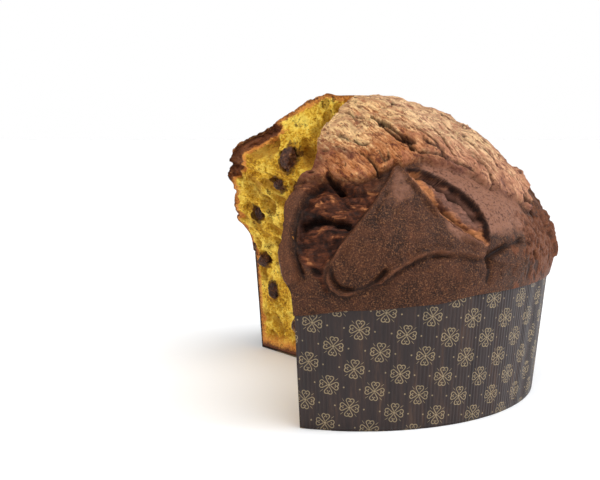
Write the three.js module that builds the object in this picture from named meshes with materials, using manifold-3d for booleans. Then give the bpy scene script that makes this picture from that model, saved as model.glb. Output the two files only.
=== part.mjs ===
// A low panettone in its paper case, with one wedge torn out of it.
// The loaf is one solid: a domed crust with scored ears, burst seams and a lifted crown, and two
// torn faces of open crumb. Pieces of chocolate sit in the torn faces, each in its own pocket.
// Millimetres, +Z up. The origin is the middle of the case's base, on the table.
// The shown side faces -Y, and the missing wedge opens towards -X.

import * as THREE from "three";
import { mergeVertices } from "three/addons/utils/BufferGeometryUtils.js";
import Module from "manifold-3d";

const { degToRad, radToDeg, clamp, smoothstep, lerp } = THREE.MathUtils;

// Driving dimensions of the paper case.
const CASE_BASE_RADIUS = 100;
const CASE_TOP_RADIUS = 107.5;
const CASE_HEIGHT = 70;
const PAPER = 1;

// Driving dimensions of the loaf.
const LOAF_HEIGHT = 168;
const SHOULDER_RADIUS = 111;
const SHOULDER_HEIGHT = 82;
const DOME_POWER = 1.25;

// The lip of crust that hangs over the paper: its lower edge as degrees round the loaf and height.
const LIP_LINE = [
  [-140, 59], [-110, 60], [-92, 64], [-72, 65.8], [-57, 68.8],
  [0, 68.5], [40, 65], [80, 67.5], [120, 64], [160, 66],
];
const LIP_EDGE = 1.2;

// The torn wedge: its point lies just off the middle, towards the gap. The paper is cut along two
// straight lines, and above it the crust tears away from them by some degrees at each height.
const NEAR_CUT = -107;
const FAR_CUT = 131;
const WEDGE_POINT_OFFSET = 4;
const WEDGE_MIDDLE = (NEAR_CUT + FAR_CUT) / 2 + 180;
const WEDGE_REACH = 260;
const NEAR_TEAR = [[0, 0], [70, 0], [84, -3], [110, -4], [122, -2], [131, 1], [150, 1], [160, 4], [168, 8]];
const FAR_TEAR = [[0, 0], [70, 0], [100, 10], [132, 27], [147, 18], [158, 15], [168, 18]];
const TEAR_WAVE = { degrees: 0.8, height: 5, start: 10 };

// Clearance between pieces that touch.
const GAP = 0.3;

// Fineness of the faceted surfaces.
const COLUMNS = 80;
const CORE_ROWS = 6;
const LIP_ROWS = 2;
const SHOULDER_ROWS = 2;
const DOME_ROWS = 26;
const FACE_COLUMNS = 16;
const FACE_INNER_SHARE = 0.96;
const CASE_SEGMENTS = 120;
const OUTLINE_STEPS = 4;
const SAME_PLACE = 1e-3;
const WELD = 1e-4;

const direction = (degrees) => new THREE.Vector2(Math.cos(degToRad(degrees)), Math.sin(degToRad(degrees)));
const wedgePoint = direction(WEDGE_MIDDLE).multiplyScalar(WEDGE_POINT_OFFSET);
const caseRadius = (z) => lerp(CASE_BASE_RADIUS, CASE_TOP_RADIUS, z / CASE_HEIGHT);
const bump = (x, middle, width) => Math.exp(-(((x - middle) / width) ** 2));

// A smooth line through [place, value] pairs.
function along(line, place) {
  const next = line.findIndex(([at]) => at > place);
  if (next === 0) return line[0][1];
  if (next < 0) return line[line.length - 1][1];
  const [fromPlace, fromValue] = line[next - 1];
  const [toPlace, toValue] = line[next];
  return lerp(fromValue, toValue, smoothstep(place, fromPlace, toPlace));
}

// A repeatable run of numbers from 0 to 1, by a linear congruence.
const RANDOM_FACTOR = 1664525;
const RANDOM_STEP = 1013904223;
const RANDOM_RANGE = 2 ** 32;

function makeRandom(seed) {
  let state = seed >>> 0;
  return () => {
    state = (Math.imul(state, RANDOM_FACTOR) + RANDOM_STEP) >>> 0;
    return state / RANDOM_RANGE;
  };
}

// Profile of the dome, from the crown (angle of a quarter turn) down to the shoulder (angle 0).
function domeProfile(angle) {
  const rise = Math.max(Math.sin(angle), 0) ** DOME_POWER;
  const height = SHOULDER_HEIGHT + (LOAF_HEIGHT - SHOULDER_HEIGHT) * rise;
  return new THREE.Vector2(SHOULDER_RADIUS * Math.cos(angle), height);
}

// Distance along the dome's profile from the crown, for angles a fixed step apart.
const SLOPE_STEPS = 200;
const slopeTable = [0];
for (let i = 1; i <= SLOPE_STEPS; i++) {
  const angleAt = (n) => (Math.PI / 2) * (1 - n / SLOPE_STEPS);
  const step = domeProfile(angleAt(i)).distanceTo(domeProfile(angleAt(i - 1)));
  slopeTable.push(slopeTable[i - 1] + step);
}
const DOME_SLOPE = slopeTable[SLOPE_STEPS];

function angleAtSlope(slope) {
  let i = 1;
  while (i < SLOPE_STEPS && slopeTable[i] < slope) i++;
  const share = clamp((slope - slopeTable[i - 1]) / (slopeTable[i] - slopeTable[i - 1]), 0, 1);
  return (Math.PI / 2) * (1 - (i - 1 + share) / SLOPE_STEPS);
}

function slopeAtHeight(z) {
  if (z <= SHOULDER_HEIGHT) return DOME_SLOPE + SHOULDER_HEIGHT - z;
  const rise = clamp((z - SHOULDER_HEIGHT) / (LOAF_HEIGHT - SHOULDER_HEIGHT), 0, 1);
  const angle = Math.asin(rise ** (1 / DOME_POWER));
  const place = (1 - angle / (Math.PI / 2)) * SLOPE_STEPS;
  const i = Math.min(Math.floor(place), SLOPE_STEPS - 1);
  return lerp(slopeTable[i], slopeTable[i + 1], place - i);
}

// A place on the crust, given in degrees round the loaf and millimetres of height, as a flat point:
// millimetres round the dome and millimetres of slope.
const RELIEF_RADIUS = 100;
const onCrust = ([degrees, z], turn = 0) =>
  new THREE.Vector2(degToRad(degrees + turn) * RELIEF_RADIUS, slopeAtHeight(z));

// The scored ear of smooth skin that faces the front, and the torn seams on both sides of it.
const EAR = [
  [-76, 134], [-82, 124], [-88, 112], [-94, 99], [-98, 88], [-99, 79], [-96, 72], [-91, 74],
  [-85, 79], [-79, 87], [-72, 91], [-64, 90], [-57, 88], [-55, 92], [-61, 99], [-67, 110], [-72, 124],
];
const BURST = [
  [-102, 127], [-106, 122], [-108, 112], [-108, 101], [-107, 91], [-104, 83], [-101, 78], [-99, 72],
  [-100, 79], [-99, 88], [-95, 99], [-89, 112], [-84, 122], [-90, 124], [-96, 127],
];
const LENS = [
  [-73, 133], [-66, 132], [-60, 127], [-55, 120], [-52, 111], [-52, 101], [-54, 92], [-60, 99],
  [-66, 110], [-71, 124],
];
const SIDE_FOLD = [[-55, 87], [-50, 91], [-45, 94], [-40, 93], [-39, 84], [-41, 79], [-48, 81]];
const EAR_TURNS = [0, 96, 190];

// Where the lifted crown ends, as degrees and height, and the cracks that open in it.
const CROWN_EDGE = [
  [-125, 126], [-107, 127], [-99, 129], [-88, 128], [-82, 132], [-75, 135], [-66, 136], [-56, 133],
  [-48, 129], [-41, 122], [-33, 114], [-26, 107], [-18, 114], [-6, 129], [8, 135], [26, 132],
  [42, 119], [54, 109], [64, 118], [78, 131], [92, 135], [110, 131], [124, 118], [136, 110], [152, 116],
];
const CRACKS = [
  [[-79, 157], [-75, 152], [-70, 146], [-67, 140]],
  [[-47, 151], [-49, 144], [-49, 139]],
  [[-4, 156], [2, 148], [6, 142]],
  [[84, 155], [78, 147], [80, 140]],
];
const FISSURE = [[-104, 107], [-99, 104], [-94, 105]];

// Depths and heights of the crust's relief.
const EAR_RISE = 2.4;
const EAR_BEAD = 1.2;
const BURST_DEPTH = 3.4;
const LENS_DEPTH = 4.4;
const CROWN_RISE = 4;
const CROWN_FADE = 14;
const CRACK_DEPTH = 3.6;
const FOLD_RISE = 1.8;
const EDGE_WIDTH = 4.5;

function closedOutline(points, turn) {
  const corners = points.map((p) => onCrust(p, turn)).map((p) => new THREE.Vector3(p.x, p.y, 0));
  const curve = new THREE.CatmullRomCurve3(corners, true, "centripetal");
  return curve.getPoints(points.length * OUTLINE_STEPS).slice(0, -1);
}

function distanceToEdges(place, points, closed) {
  let nearest = Infinity;
  const last = closed ? points.length : points.length - 1;
  for (let i = 0; i < last; i++) {
    const a = points[i];
    const b = points[(i + 1) % points.length];
    const dx = b.x - a.x;
    const dy = b.y - a.y;
    const share = clamp(((place.x - a.x) * dx + (place.y - a.y) * dy) / (dx * dx + dy * dy), 0, 1);
    nearest = Math.min(nearest, Math.hypot(place.x - a.x - share * dx, place.y - a.y - share * dy));
  }
  return nearest;
}

// Distance to a closed outline, above 0 inside it.
function inside(place, outline) {
  let within = false;
  for (let i = 0; i < outline.length; i++) {
    const a = outline[i];
    const b = outline[(i + 1) % outline.length];
    const crosses = a.y > place.y !== b.y > place.y;
    if (crosses && place.x < ((b.x - a.x) * (place.y - a.y)) / (b.y - a.y) + a.x) within = !within;
  }
  const distance = distanceToEdges(place, outline, true);
  return within ? distance : -distance;
}

const ears = EAR_TURNS.map((turn) => closedOutline(EAR, turn));
const bursts = EAR_TURNS.map((turn) => closedOutline(BURST, turn));
const lenses = EAR_TURNS.map((turn) => closedOutline(LENS, turn));
const folds = EAR_TURNS.map((turn) => closedOutline(SIDE_FOLD, turn));
const cracks = CRACKS.map((points) => points.map((p) => onCrust(p)));
const fissures = EAR_TURNS.map((turn) => FISSURE.map((p) => onCrust(p, turn)));

// Slow unevenness of the dome: two waves, by their height and their lengths round and down the slope.
const LONG_WAVE = { height: 1, round: 31, slope: 27 };
const SHORT_WAVE = { height: 0.6, round: 13, slope: 19 };

function unevenness(place) {
  const long = Math.sin(place.x / LONG_WAVE.round) * Math.sin(place.y / LONG_WAVE.slope);
  const short = Math.sin(place.x / SHORT_WAVE.round + place.y / SHORT_WAVE.slope);
  return LONG_WAVE.height * long + SHORT_WAVE.height * short;
}

// Height of the crust's relief over the smooth dome. It fades out at the crown's middle.
const CROWN_CALM = { from: 6, to: 24 };
const crack = (place, line) => CRACK_DEPTH * bump(distanceToEdges(place, line, false), 0, EDGE_WIDTH);

function crustRelief(degrees, slope) {
  const place = new THREE.Vector2(degToRad(degrees) * RELIEF_RADIUS, slope);
  let height = unevenness(place);
  for (const ear of ears) {
    const depth = inside(place, ear);
    height += EAR_RISE * smoothstep(depth, -EDGE_WIDTH / 2, EDGE_WIDTH / 2);
    height += EAR_BEAD * bump(depth, EDGE_WIDTH / 2, EDGE_WIDTH);
  }
  for (const burst of bursts) height -= BURST_DEPTH * smoothstep(inside(place, burst), -1, EDGE_WIDTH);
  for (const lens of lenses) height -= LENS_DEPTH * smoothstep(inside(place, lens), -1, EDGE_WIDTH);
  for (const fold of folds) height += FOLD_RISE * smoothstep(inside(place, fold), -1, EDGE_WIDTH);
  for (const line of [...fissures, ...cracks]) height -= crack(place, line);
  const overCrown = slopeAtHeight(along(CROWN_EDGE, degrees)) - slope;
  const belowCrown = 1 - smoothstep(overCrown, -EDGE_WIDTH / 2, EDGE_WIDTH);
  height -= CROWN_RISE * belowCrown * Math.exp(Math.min(overCrown, 0) / CROWN_FADE);
  return height * smoothstep(slope, CROWN_CALM.from, CROWN_CALM.to);
}

// The skin's rows turn about the case's middle at the base and about the wedge's point at the crown.
function rowMiddle(z) {
  return wedgePoint.clone().multiplyScalar(smoothstep(z, CASE_HEIGHT, LOAF_HEIGHT));
}

// Degrees, seen from a row's middle, at which a straight cut from the wedge's point meets the skin.
function cutDegrees(cut, radius, z) {
  const start = wedgePoint.clone().sub(rowMiddle(z));
  const ahead = direction(cut);
  const back = start.dot(ahead);
  const reach = Math.sqrt(Math.max(radius ** 2 - start.lengthSq() + back ** 2, 0)) - back;
  const end = start.add(ahead.multiplyScalar(reach));
  return radToDeg(Math.atan2(end.y, end.x));
}

// Degrees of the two torn edges of the crust at a radius and height.
function tornEdge(cut, tear, radius, z) {
  if (radius < WEDGE_POINT_OFFSET) return cut + along(tear, z);
  const start = smoothstep(z, SHOULDER_HEIGHT, SHOULDER_HEIGHT + TEAR_WAVE.start);
  const wave = TEAR_WAVE.degrees * Math.sin(z / TEAR_WAVE.height + cut);
  return cutDegrees(cut, radius, z) + along(tear, z) + wave * start;
}

const lipHeight = (degrees) => along(LIP_LINE, degrees);

// The loaf's skin is one path of rows: up inside the paper, over its top edge, down outside it to
// the edge of the lip, up the lip to the level of the paper's top, and over the dome to the crown.
const SLOT_TOP = CASE_HEIGHT + GAP;
const SLOT_ROW = CORE_ROWS + 1;
const LIP_ROW = SLOT_ROW + LIP_ROWS + 1;
const LEVEL_ROW = LIP_ROW + LIP_ROWS;
const SHOULDER_ROW = LEVEL_ROW + SHOULDER_ROWS;
const CROWN_ROW = SHOULDER_ROW + DOME_ROWS;
const FACE_ROWS = CORE_ROWS + CROWN_ROW - LEVEL_ROW;

// Radius and height of the outer skin between the lip's edge and the shoulder. The relief sets in
// over a stretch of that rise.
const LIP_RELIEF = { from: 0.1, to: 0.6 };

function lipSkin(z, degrees) {
  const edge = lipHeight(degrees);
  const share = clamp((z - edge) / (SHOULDER_HEIGHT - edge), 0, 1);
  const thinnest = caseRadius(z) + GAP + LIP_EDGE;
  const smooth = lerp(caseRadius(edge) + GAP + LIP_EDGE, SHOULDER_RADIUS, Math.sin((share * Math.PI) / 2));
  const relief = crustRelief(degrees, slopeAtHeight(z)) * smoothstep(share, LIP_RELIEF.from, LIP_RELIEF.to);
  return new THREE.Vector2(Math.max(smooth + relief, thinnest), z);
}

const TANGENT_STEP = 0.01;

function domeSkin(share, degrees) {
  const slope = DOME_SLOPE * (1 - share);
  const angle = angleAtSlope(slope);
  const ahead = domeProfile(angle + TANGENT_STEP).sub(domeProfile(angle - TANGENT_STEP)).normalize();
  const relief = crustRelief(degrees, slope);
  return domeProfile(angle).add(new THREE.Vector2(ahead.y, -ahead.x).multiplyScalar(relief));
}

// Radius and height of the skin in one row.
function skinAt(row, degrees) {
  const edge = lipHeight(degrees);
  if (row <= CORE_ROWS) {
    const z = lerp(PAPER + GAP, SLOT_TOP, row / CORE_ROWS);
    return new THREE.Vector2(caseRadius(z) - PAPER - GAP, z);
  }
  if (row < LIP_ROW) {
    const z = lerp(SLOT_TOP, edge, (row - SLOT_ROW) / LIP_ROWS);
    return new THREE.Vector2(caseRadius(z) + GAP, z);
  }
  if (row <= LEVEL_ROW) return lipSkin(lerp(edge, SLOT_TOP, (row - LIP_ROW) / LIP_ROWS), degrees);
  if (row < SHOULDER_ROW) {
    return lipSkin(lerp(SLOT_TOP, SHOULDER_HEIGHT, (row - LEVEL_ROW) / SHOULDER_ROWS), degrees);
  }
  return domeSkin((row - SHOULDER_ROW) / DOME_ROWS, degrees);
}

function skinPoint(column, row) {
  const { x: evenRadius, y: evenHeight } = skinAt(row, 0);
  const from = tornEdge(NEAR_CUT, NEAR_TEAR, evenRadius, evenHeight);
  const to = tornEdge(FAR_CUT, FAR_TEAR, evenRadius, evenHeight);
  const degrees = lerp(from, to, column / COLUMNS);
  const { x: radius, y: z } = skinAt(row, degrees);
  const place = rowMiddle(z).add(direction(degrees).multiplyScalar(Math.max(radius, 0)));
  return new THREE.Vector3(place.x, place.y, z);
}

// Open bubbles of the crumb on a torn face, by their distance from the wedge's point and height.
// The far face has the large ones that its shown part is known by, and the rest are drawn.
const BUBBLES = 26;
const BUBBLE_SIZE = { largest: 9, least: 4.5 };
const CRUMB_REACH = { least: 14, most: 94 };
const CRUMB_LEVEL = { least: 12, most: 150 };
const PLACED_BUBBLES = {
  near: [],
  far: [
    { across: 71, height: 100, long: 6.8, short: 6.3, lean: 0, depth: 5.5 },
    { across: 33, height: 133, long: 10, short: 6, lean: 75, depth: 5 },
    { across: 65, height: 134, long: 9, short: 4.5, lean: 15, depth: 5 },
    { across: 26, height: 144, long: 6.5, short: 5, lean: 30, depth: 4 },
    { across: 80, height: 110, long: 7, short: 5, lean: 90, depth: 4 },
  ],
};

function makeBubbles(placed, seed) {
  const random = makeRandom(seed);
  const drawn = Array.from({ length: BUBBLES }, (_, i) => {
    const size = lerp(BUBBLE_SIZE.largest, BUBBLE_SIZE.least, Math.sqrt(i / BUBBLES));
    return {
      across: lerp(CRUMB_REACH.least, CRUMB_REACH.most, random()),
      height: lerp(CRUMB_LEVEL.least, CRUMB_LEVEL.most, random()),
      long: size * lerp(0.9, 1.3, random()),
      short: size * lerp(0.5, 0.8, random()),
      lean: lerp(20, 120, random()),
      depth: size * lerp(0.45, 0.75, random()),
    };
  });
  return [...placed, ...drawn];
}

// How far the torn crumb stands out of its plane, at a distance from the wedge's point and a height.
const CRUMB_WAVES = [
  { height: 1.8, across: 17, rise: 29 },
  { height: 1.4, across: -31, rise: 15 },
];

function crumbRelief(bubbles, across, z) {
  const waves = CRUMB_WAVES.map((wave) => wave.height * Math.sin(across / wave.across + z / wave.rise));
  let deepest = 0;
  for (const bubble of bubbles) {
    const offset = new THREE.Vector2(across - bubble.across, z - bubble.height);
    offset.rotateAround(new THREE.Vector2(), -degToRad(bubble.lean));
    const away = Math.hypot(offset.x / bubble.long, offset.y / bubble.short);
    deepest = Math.max(deepest, bubble.depth * Math.sqrt(Math.max(0, 1 - away * away)));
  }
  return waves[0] + waves[1] - deepest;
}

const NEAR_FACE = { name: "near", column: 0, cut: NEAR_CUT, tear: NEAR_TEAR, turn: -90, seed: 11 };
const FAR_FACE = { name: "far", column: COLUMNS, cut: FAR_CUT, tear: FAR_TEAR, turn: 90, seed: 23 };
const FACES = [NEAR_FACE, FAR_FACE].map((face) => ({
  ...face,
  bubbles: makeBubbles(PLACED_BUBBLES[face.name], face.seed),
}));

// The way a torn face looks at a height, into the gap.
const outward = (face, z) => direction(face.cut + face.turn + along(face.tear, z));

// Height of the wedge's own edge at a row of the torn faces: even steps, up to the crown.
function spineAt(row) {
  if (row <= CORE_ROWS) return skinAt(row, 0).y;
  return lerp(SLOT_TOP, LOAF_HEIGHT, (row - CORE_ROWS) / (FACE_ROWS - CORE_ROWS));
}

// The loaf's skin at a torn face's edge. Past its own columns a face has the slot's outer wall and
// the crust beside it.
function faceEdge(face, column, row) {
  if (row > CORE_ROWS) return skinPoint(face.column, row - CORE_ROWS + LEVEL_ROW);
  if (column <= FACE_COLUMNS) return skinPoint(face.column, row);
  return skinPoint(face.column, column === FACE_COLUMNS + 1 ? SLOT_ROW : LEVEL_ROW);
}

// How far along its row a point of a torn face lies, from the wedge's point to the skin.
function faceShare(column, row) {
  if (row <= CORE_ROWS) return Math.min(column / FACE_COLUMNS, 1);
  if (column <= FACE_COLUMNS) return (FACE_INNER_SHARE * column) / FACE_COLUMNS;
  return lerp(FACE_INNER_SHARE, 1, (column - FACE_COLUMNS) / 2);
}

// The crumb's relief dies out over these distances from the wedge's point, the skin and the base.
const CALM = { point: 12, rimFrom: 1, rimTo: 9, base: 6 };

function facePoint(face, column, row) {
  const edge = faceEdge(face, column, row);
  const share = faceShare(column, row);
  const x = lerp(wedgePoint.x, edge.x, share);
  const y = lerp(wedgePoint.y, edge.y, share);
  const z = lerp(spineAt(row), edge.z, share);
  const across = Math.hypot(x - wedgePoint.x, y - wedgePoint.y);
  const fromRim = Math.hypot(edge.x - x, edge.y - y);
  const nearPoint = smoothstep(across, 0, CALM.point);
  const nearRim = smoothstep(fromRim, CALM.rimFrom, CALM.rimTo);
  const nearBase = smoothstep(z - PAPER - GAP, 0, CALM.base);
  const out = nearPoint * nearRim * nearBase * crumbRelief(face.bubbles, across, z);
  const away = outward(face, z).multiplyScalar(out);
  return new THREE.Vector3(x + away.x, y + away.y, z);
}

const wasm = await Module();
wasm.setup();

function toSolid(geometry) {
  const bare = geometry.clone();
  bare.deleteAttribute("normal");
  bare.deleteAttribute("uv");
  const merged = mergeVertices(bare, WELD);
  return new wasm.Manifold(
    new wasm.Mesh({
      numProp: 3,
      vertProperties: new Float32Array(merged.attributes.position.array),
      triVerts: new Uint32Array(merged.index.array),
    }),
  );
}

function toGeometry(solid) {
  const mesh = solid.getMesh();
  const geometry = new THREE.BufferGeometry();
  geometry.setAttribute("position", new THREE.BufferAttribute(mesh.vertProperties, 3));
  geometry.setIndex(new THREE.BufferAttribute(mesh.triVerts, 1));
  geometry.computeVertexNormals();
  return geometry;
}

// The loaf as one closed skin: crust, two torn faces and the flat base.
function loafGeometry() {
  const positions = [];
  const addTriangle = (...points) => {
    const flat = points.some((p, i) => p.distanceTo(points[(i + 1) % 3]) < SAME_PLACE);
    if (!flat) points.forEach((p) => positions.push(p.x, p.y, p.z));
  };
  const addPatch = (a, b, c, d) => {
    const corners = a.distanceTo(c) < b.distanceTo(d) ? [a, b, c, d] : [b, c, d, a];
    addTriangle(corners[0], corners[1], corners[2]);
    addTriangle(corners[0], corners[2], corners[3]);
  };
  const skin = Array.from({ length: COLUMNS + 1 }, (_, column) =>
    Array.from({ length: CROWN_ROW + 1 }, (_, row) => skinPoint(column, row)),
  );
  for (let c = 0; c < COLUMNS; c++) {
    const [left, right] = [skin[c], skin[c + 1]];
    for (let r = 0; r < CROWN_ROW; r++) addPatch(left[r], right[r], right[r + 1], left[r + 1]);
  }

  const rims = FACES.map((face) => {
    const addFacePatch = (...corners) => addPatch(...(face.name === "far" ? corners.reverse() : corners));
    const grid = Array.from({ length: FACE_COLUMNS + 3 }, (_, column) =>
      Array.from({ length: FACE_ROWS + 1 }, (_, row) => facePoint(face, column, row)),
    );
    for (let c = 0; c < FACE_COLUMNS + 2; c++)
      for (let r = c < FACE_COLUMNS ? 0 : CORE_ROWS; r < FACE_ROWS; r++)
        addFacePatch(grid[c][r], grid[c + 1][r], grid[c + 1][r + 1], grid[c][r + 1]);
    const line = skin[face.column];
    for (let i = 0; i < LIP_ROWS; i++)
      addFacePatch(line[SLOT_ROW + i + 1], line[LEVEL_ROW - i - 1], line[LEVEL_ROW - i], line[SLOT_ROW + i]);
    return grid.slice(0, FACE_COLUMNS + 1).map((points) => points[0]);
  });

  const [nearRim, farRim] = rims;
  const base = [...nearRim, ...skin.slice(1, -1).map((line) => line[0]), ...farRim.slice(1).reverse()];
  const middle = new THREE.Vector3(0, 0, base[0].z);
  base.forEach((point, i) => addTriangle(middle, base[(i + 1) % base.length], point));
  return new THREE.BufferGeometry().setAttribute("position", new THREE.Float32BufferAttribute(positions, 3));
}

// The paper case turned whole: a flat base and a flaring wall.
function wholeCaseGeometry() {
  const profile = [
    new THREE.Vector2(0, 0),
    new THREE.Vector2(CASE_BASE_RADIUS, 0),
    new THREE.Vector2(CASE_TOP_RADIUS, CASE_HEIGHT),
    new THREE.Vector2(CASE_TOP_RADIUS - PAPER, CASE_HEIGHT),
    new THREE.Vector2(caseRadius(PAPER) - PAPER, PAPER),
    new THREE.Vector2(0, PAPER),
  ];
  return new THREE.LatheGeometry(profile, CASE_SEGMENTS).rotateX(Math.PI / 2);
}

// The gap that the knife and the hand left, as a prism over the whole height.
function wedgePrism() {
  const near = direction(NEAR_CUT).multiplyScalar(WEDGE_REACH).add(wedgePoint);
  const middle = direction(WEDGE_MIDDLE).multiplyScalar(WEDGE_REACH).add(wedgePoint);
  const far = direction(FAR_CUT).multiplyScalar(WEDGE_REACH).add(wedgePoint);
  const shape = new THREE.Shape([wedgePoint, far, middle, near]);
  const depth = CASE_HEIGHT + 2 * PAPER + 2 * GAP;
  return new THREE.ExtrudeGeometry(shape, { depth, bevelEnabled: false }).translate(0, 0, -PAPER);
}

// Chocolate: the pieces that the far face is known by, and more by a spread of seeded draws.
const CHOCOLATE_SIZE = { least: 4.4, most: 6.6 };
const CHOCOLATE_SPACING = 34;
const CHOCOLATES_PER_FACE = 11;
const CHOCOLATE_DRAWS = 60;
const CHOCOLATE_SINK = 0.15;
const CHOCOLATE_CLEAR = { rim: 8, top: 14 };
const CHOCOLATE_STRETCH = 1.3;
const LUMP_REACH = { least: 0.86, most: 1.08 };
const LUMP_FLATNESS = 0.85;
const LUMP_SEED = 900;
const SPREAD_SEED = 71;
const FACE_SEED_STEP = 40;
const POCKET_GROWTH = 1.09;
const PLACED_CHOCOLATES = {
  near: [],
  far: [
    { across: 43.5, height: 130, size: 5.6, stretch: 1.4, lean: 85 },
    { across: 55, height: 114, size: 4.6, stretch: 1.2, lean: 30 },
    { across: 41, height: 110, size: 4.8, stretch: 1.1, lean: 120 },
    { across: 84.5, height: 93, size: 4.6, stretch: 1.3, lean: 80 },
    { across: 90, height: 60, size: 4.8, stretch: 1.2, lean: 10 },
    { across: 83, height: 41, size: 5.2, stretch: 1.1, lean: 70 },
  ],
};

function domeHeightAt(radius) {
  return domeProfile(Math.acos(clamp(radius / SHOULDER_RADIUS, 0, 1))).y;
}

function chocolatesOn(face, seed) {
  const random = makeRandom(seed);
  const placed = [...PLACED_CHOCOLATES[face.name]];
  while (placed.length < CHOCOLATES_PER_FACE) {
    let best = null;
    for (let i = 0; i < CHOCOLATE_DRAWS; i++) {
      const across = lerp(CRUMB_REACH.least, CRUMB_REACH.most, random());
      const top = domeHeightAt(across + CHOCOLATE_CLEAR.rim) - CHOCOLATE_CLEAR.top;
      const height = lerp(CRUMB_LEVEL.least, top, random());
      const others = placed.map((p) => Math.hypot(p.across - across, p.height - height));
      const away = Math.min(...others, CHOCOLATE_SPACING);
      if (!best || away > best.away) best = { across, height, away };
    }
    const size = lerp(CHOCOLATE_SIZE.least, CHOCOLATE_SIZE.most, random());
    const stretch = lerp(1, CHOCOLATE_STRETCH, random());
    placed.push({ ...best, size, stretch, lean: lerp(0, 180, random()) });
  }
  return placed;
}

// One rough lump, flattened and a little angular.
function lumpGeometry(size, stretch, seed) {
  const random = makeRandom(seed);
  const ball = new THREE.IcosahedronGeometry(1, 1).deleteAttribute("normal").deleteAttribute("uv");
  const lump = mergeVertices(ball, WELD);
  const points = lump.attributes.position;
  for (let i = 0; i < points.count; i++) {
    const reach = size * lerp(LUMP_REACH.least, LUMP_REACH.most, random());
    points.setX(i, points.getX(i) * reach * stretch);
    points.setY(i, points.getY(i) * reach);
    points.setZ(i, points.getZ(i) * reach * LUMP_FLATNESS);
  }
  return lump;
}

function chocolatePlace(face, piece) {
  const ahead = direction(face.cut + along(face.tear, piece.height));
  const away = outward(face, piece.height);
  const out = crumbRelief(face.bubbles, piece.across, piece.height) - piece.size * CHOCOLATE_SINK;
  return new THREE.Vector3(
    wedgePoint.x + ahead.x * piece.across + away.x * out,
    wedgePoint.y + ahead.y * piece.across + away.y * out,
    piece.height,
  );
}

const crustMaterial = new THREE.MeshStandardMaterial({ color: 0x6b3f22, roughness: 0.55, metalness: 0 });
const paperMaterial = new THREE.MeshStandardMaterial({ color: 0x3b2d28, roughness: 0.6, metalness: 0 });
const chocolateMaterial = new THREE.MeshStandardMaterial({ color: 0x2c1710, roughness: 0.45, metalness: 0 });

const panettone = new THREE.Group();
panettone.name = "panettone";

const wedge = toSolid(wedgePrism());
let loaf = toSolid(loafGeometry());

FACES.forEach((face, faceNumber) => {
  chocolatesOn(face, SPREAD_SEED + faceNumber).forEach((piece, i) => {
    const lump = lumpGeometry(piece.size, piece.stretch, LUMP_SEED + FACE_SEED_STEP * faceNumber + i);
    const place = chocolatePlace(face, piece);
    const turn = new THREE.Matrix4().makeRotationZ(degToRad(face.cut + face.turn + 90));
    turn.multiply(new THREE.Matrix4().makeRotationY(-degToRad(piece.lean)));
    const pocket = lump.clone().scale(POCKET_GROWTH, POCKET_GROWTH, POCKET_GROWTH).applyMatrix4(turn);
    loaf = loaf.subtract(toSolid(pocket.translate(place.x, place.y, place.z)));

    const chocolate = new THREE.Mesh(lump.applyMatrix4(turn), chocolateMaterial);
    chocolate.name = `chocolate_${face.name}_${String(i + 1).padStart(2, "0")}`;
    chocolate.position.copy(place);
    panettone.add(chocolate);
  });
});

const loafMesh = new THREE.Mesh(toGeometry(loaf), crustMaterial);
loafMesh.name = "loaf";
panettone.add(loafMesh);

const caseMesh = new THREE.Mesh(toGeometry(toSolid(wholeCaseGeometry()).subtract(wedge)), paperMaterial);
caseMesh.name = "paper_case";
panettone.add(caseMesh);

export default panettone;
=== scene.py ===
"""A low panettone in its printed paper case, with one wedge torn out of it.

The loaf is one closed skin: a domed crust with scored ears, burst seams and a flaky crown, and two torn
faces of open crumb. Pieces of chocolate sit in the torn faces, and a fluted paper case holds the loaf.
Shapes are worked out in millimetres and turned to metres where a mesh is made. +Z is up, the shown side
faces -Y, and the missing wedge opens towards -X.
"""

from __future__ import annotations

import itertools
import logging
import math
from collections.abc import Iterable, Sequence
from dataclasses import dataclass, field
from enum import Enum

import bmesh
import bpy
import numpy as np
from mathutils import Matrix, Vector


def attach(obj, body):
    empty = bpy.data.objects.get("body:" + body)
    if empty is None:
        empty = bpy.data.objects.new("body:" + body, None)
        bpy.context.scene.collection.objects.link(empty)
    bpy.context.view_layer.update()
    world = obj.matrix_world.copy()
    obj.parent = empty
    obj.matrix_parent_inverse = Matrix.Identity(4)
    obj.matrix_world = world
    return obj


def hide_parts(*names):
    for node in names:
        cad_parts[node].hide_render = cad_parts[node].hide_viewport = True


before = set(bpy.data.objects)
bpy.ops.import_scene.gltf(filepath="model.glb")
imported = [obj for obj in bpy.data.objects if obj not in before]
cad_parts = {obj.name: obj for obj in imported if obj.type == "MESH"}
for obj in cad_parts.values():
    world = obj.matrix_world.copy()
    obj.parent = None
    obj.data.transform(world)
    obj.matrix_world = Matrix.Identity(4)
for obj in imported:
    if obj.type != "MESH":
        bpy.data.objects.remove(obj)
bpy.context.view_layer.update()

LOG = logging.getLogger("panettone")
BODY = "root"
MM = 0.001

Array = np.ndarray
Line = Sequence[tuple[float, float]]
Colour = tuple[float, float, float]
Triple = tuple[float, float, float]
Values = np.ndarray | float
Masks = dict[str, np.ndarray]
Material = bpy.types.Material
Object = bpy.types.Object
Socket = bpy.types.NodeSocket

# The paper case.
CASE_BASE_RADIUS = 100.0
CASE_TOP_RADIUS = 107.5
CASE_HEIGHT = 70.0
PAPER = 1.0
GAP = 0.3

# The loaf's dome.
LOAF_HEIGHT = 168.0
SHOULDER_RADIUS = 111.0
SHOULDER_HEIGHT = 82.0
DOME_POWER = 1.25
SLOPE_STEPS = 200
RELIEF_RADIUS = 100.0

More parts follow.
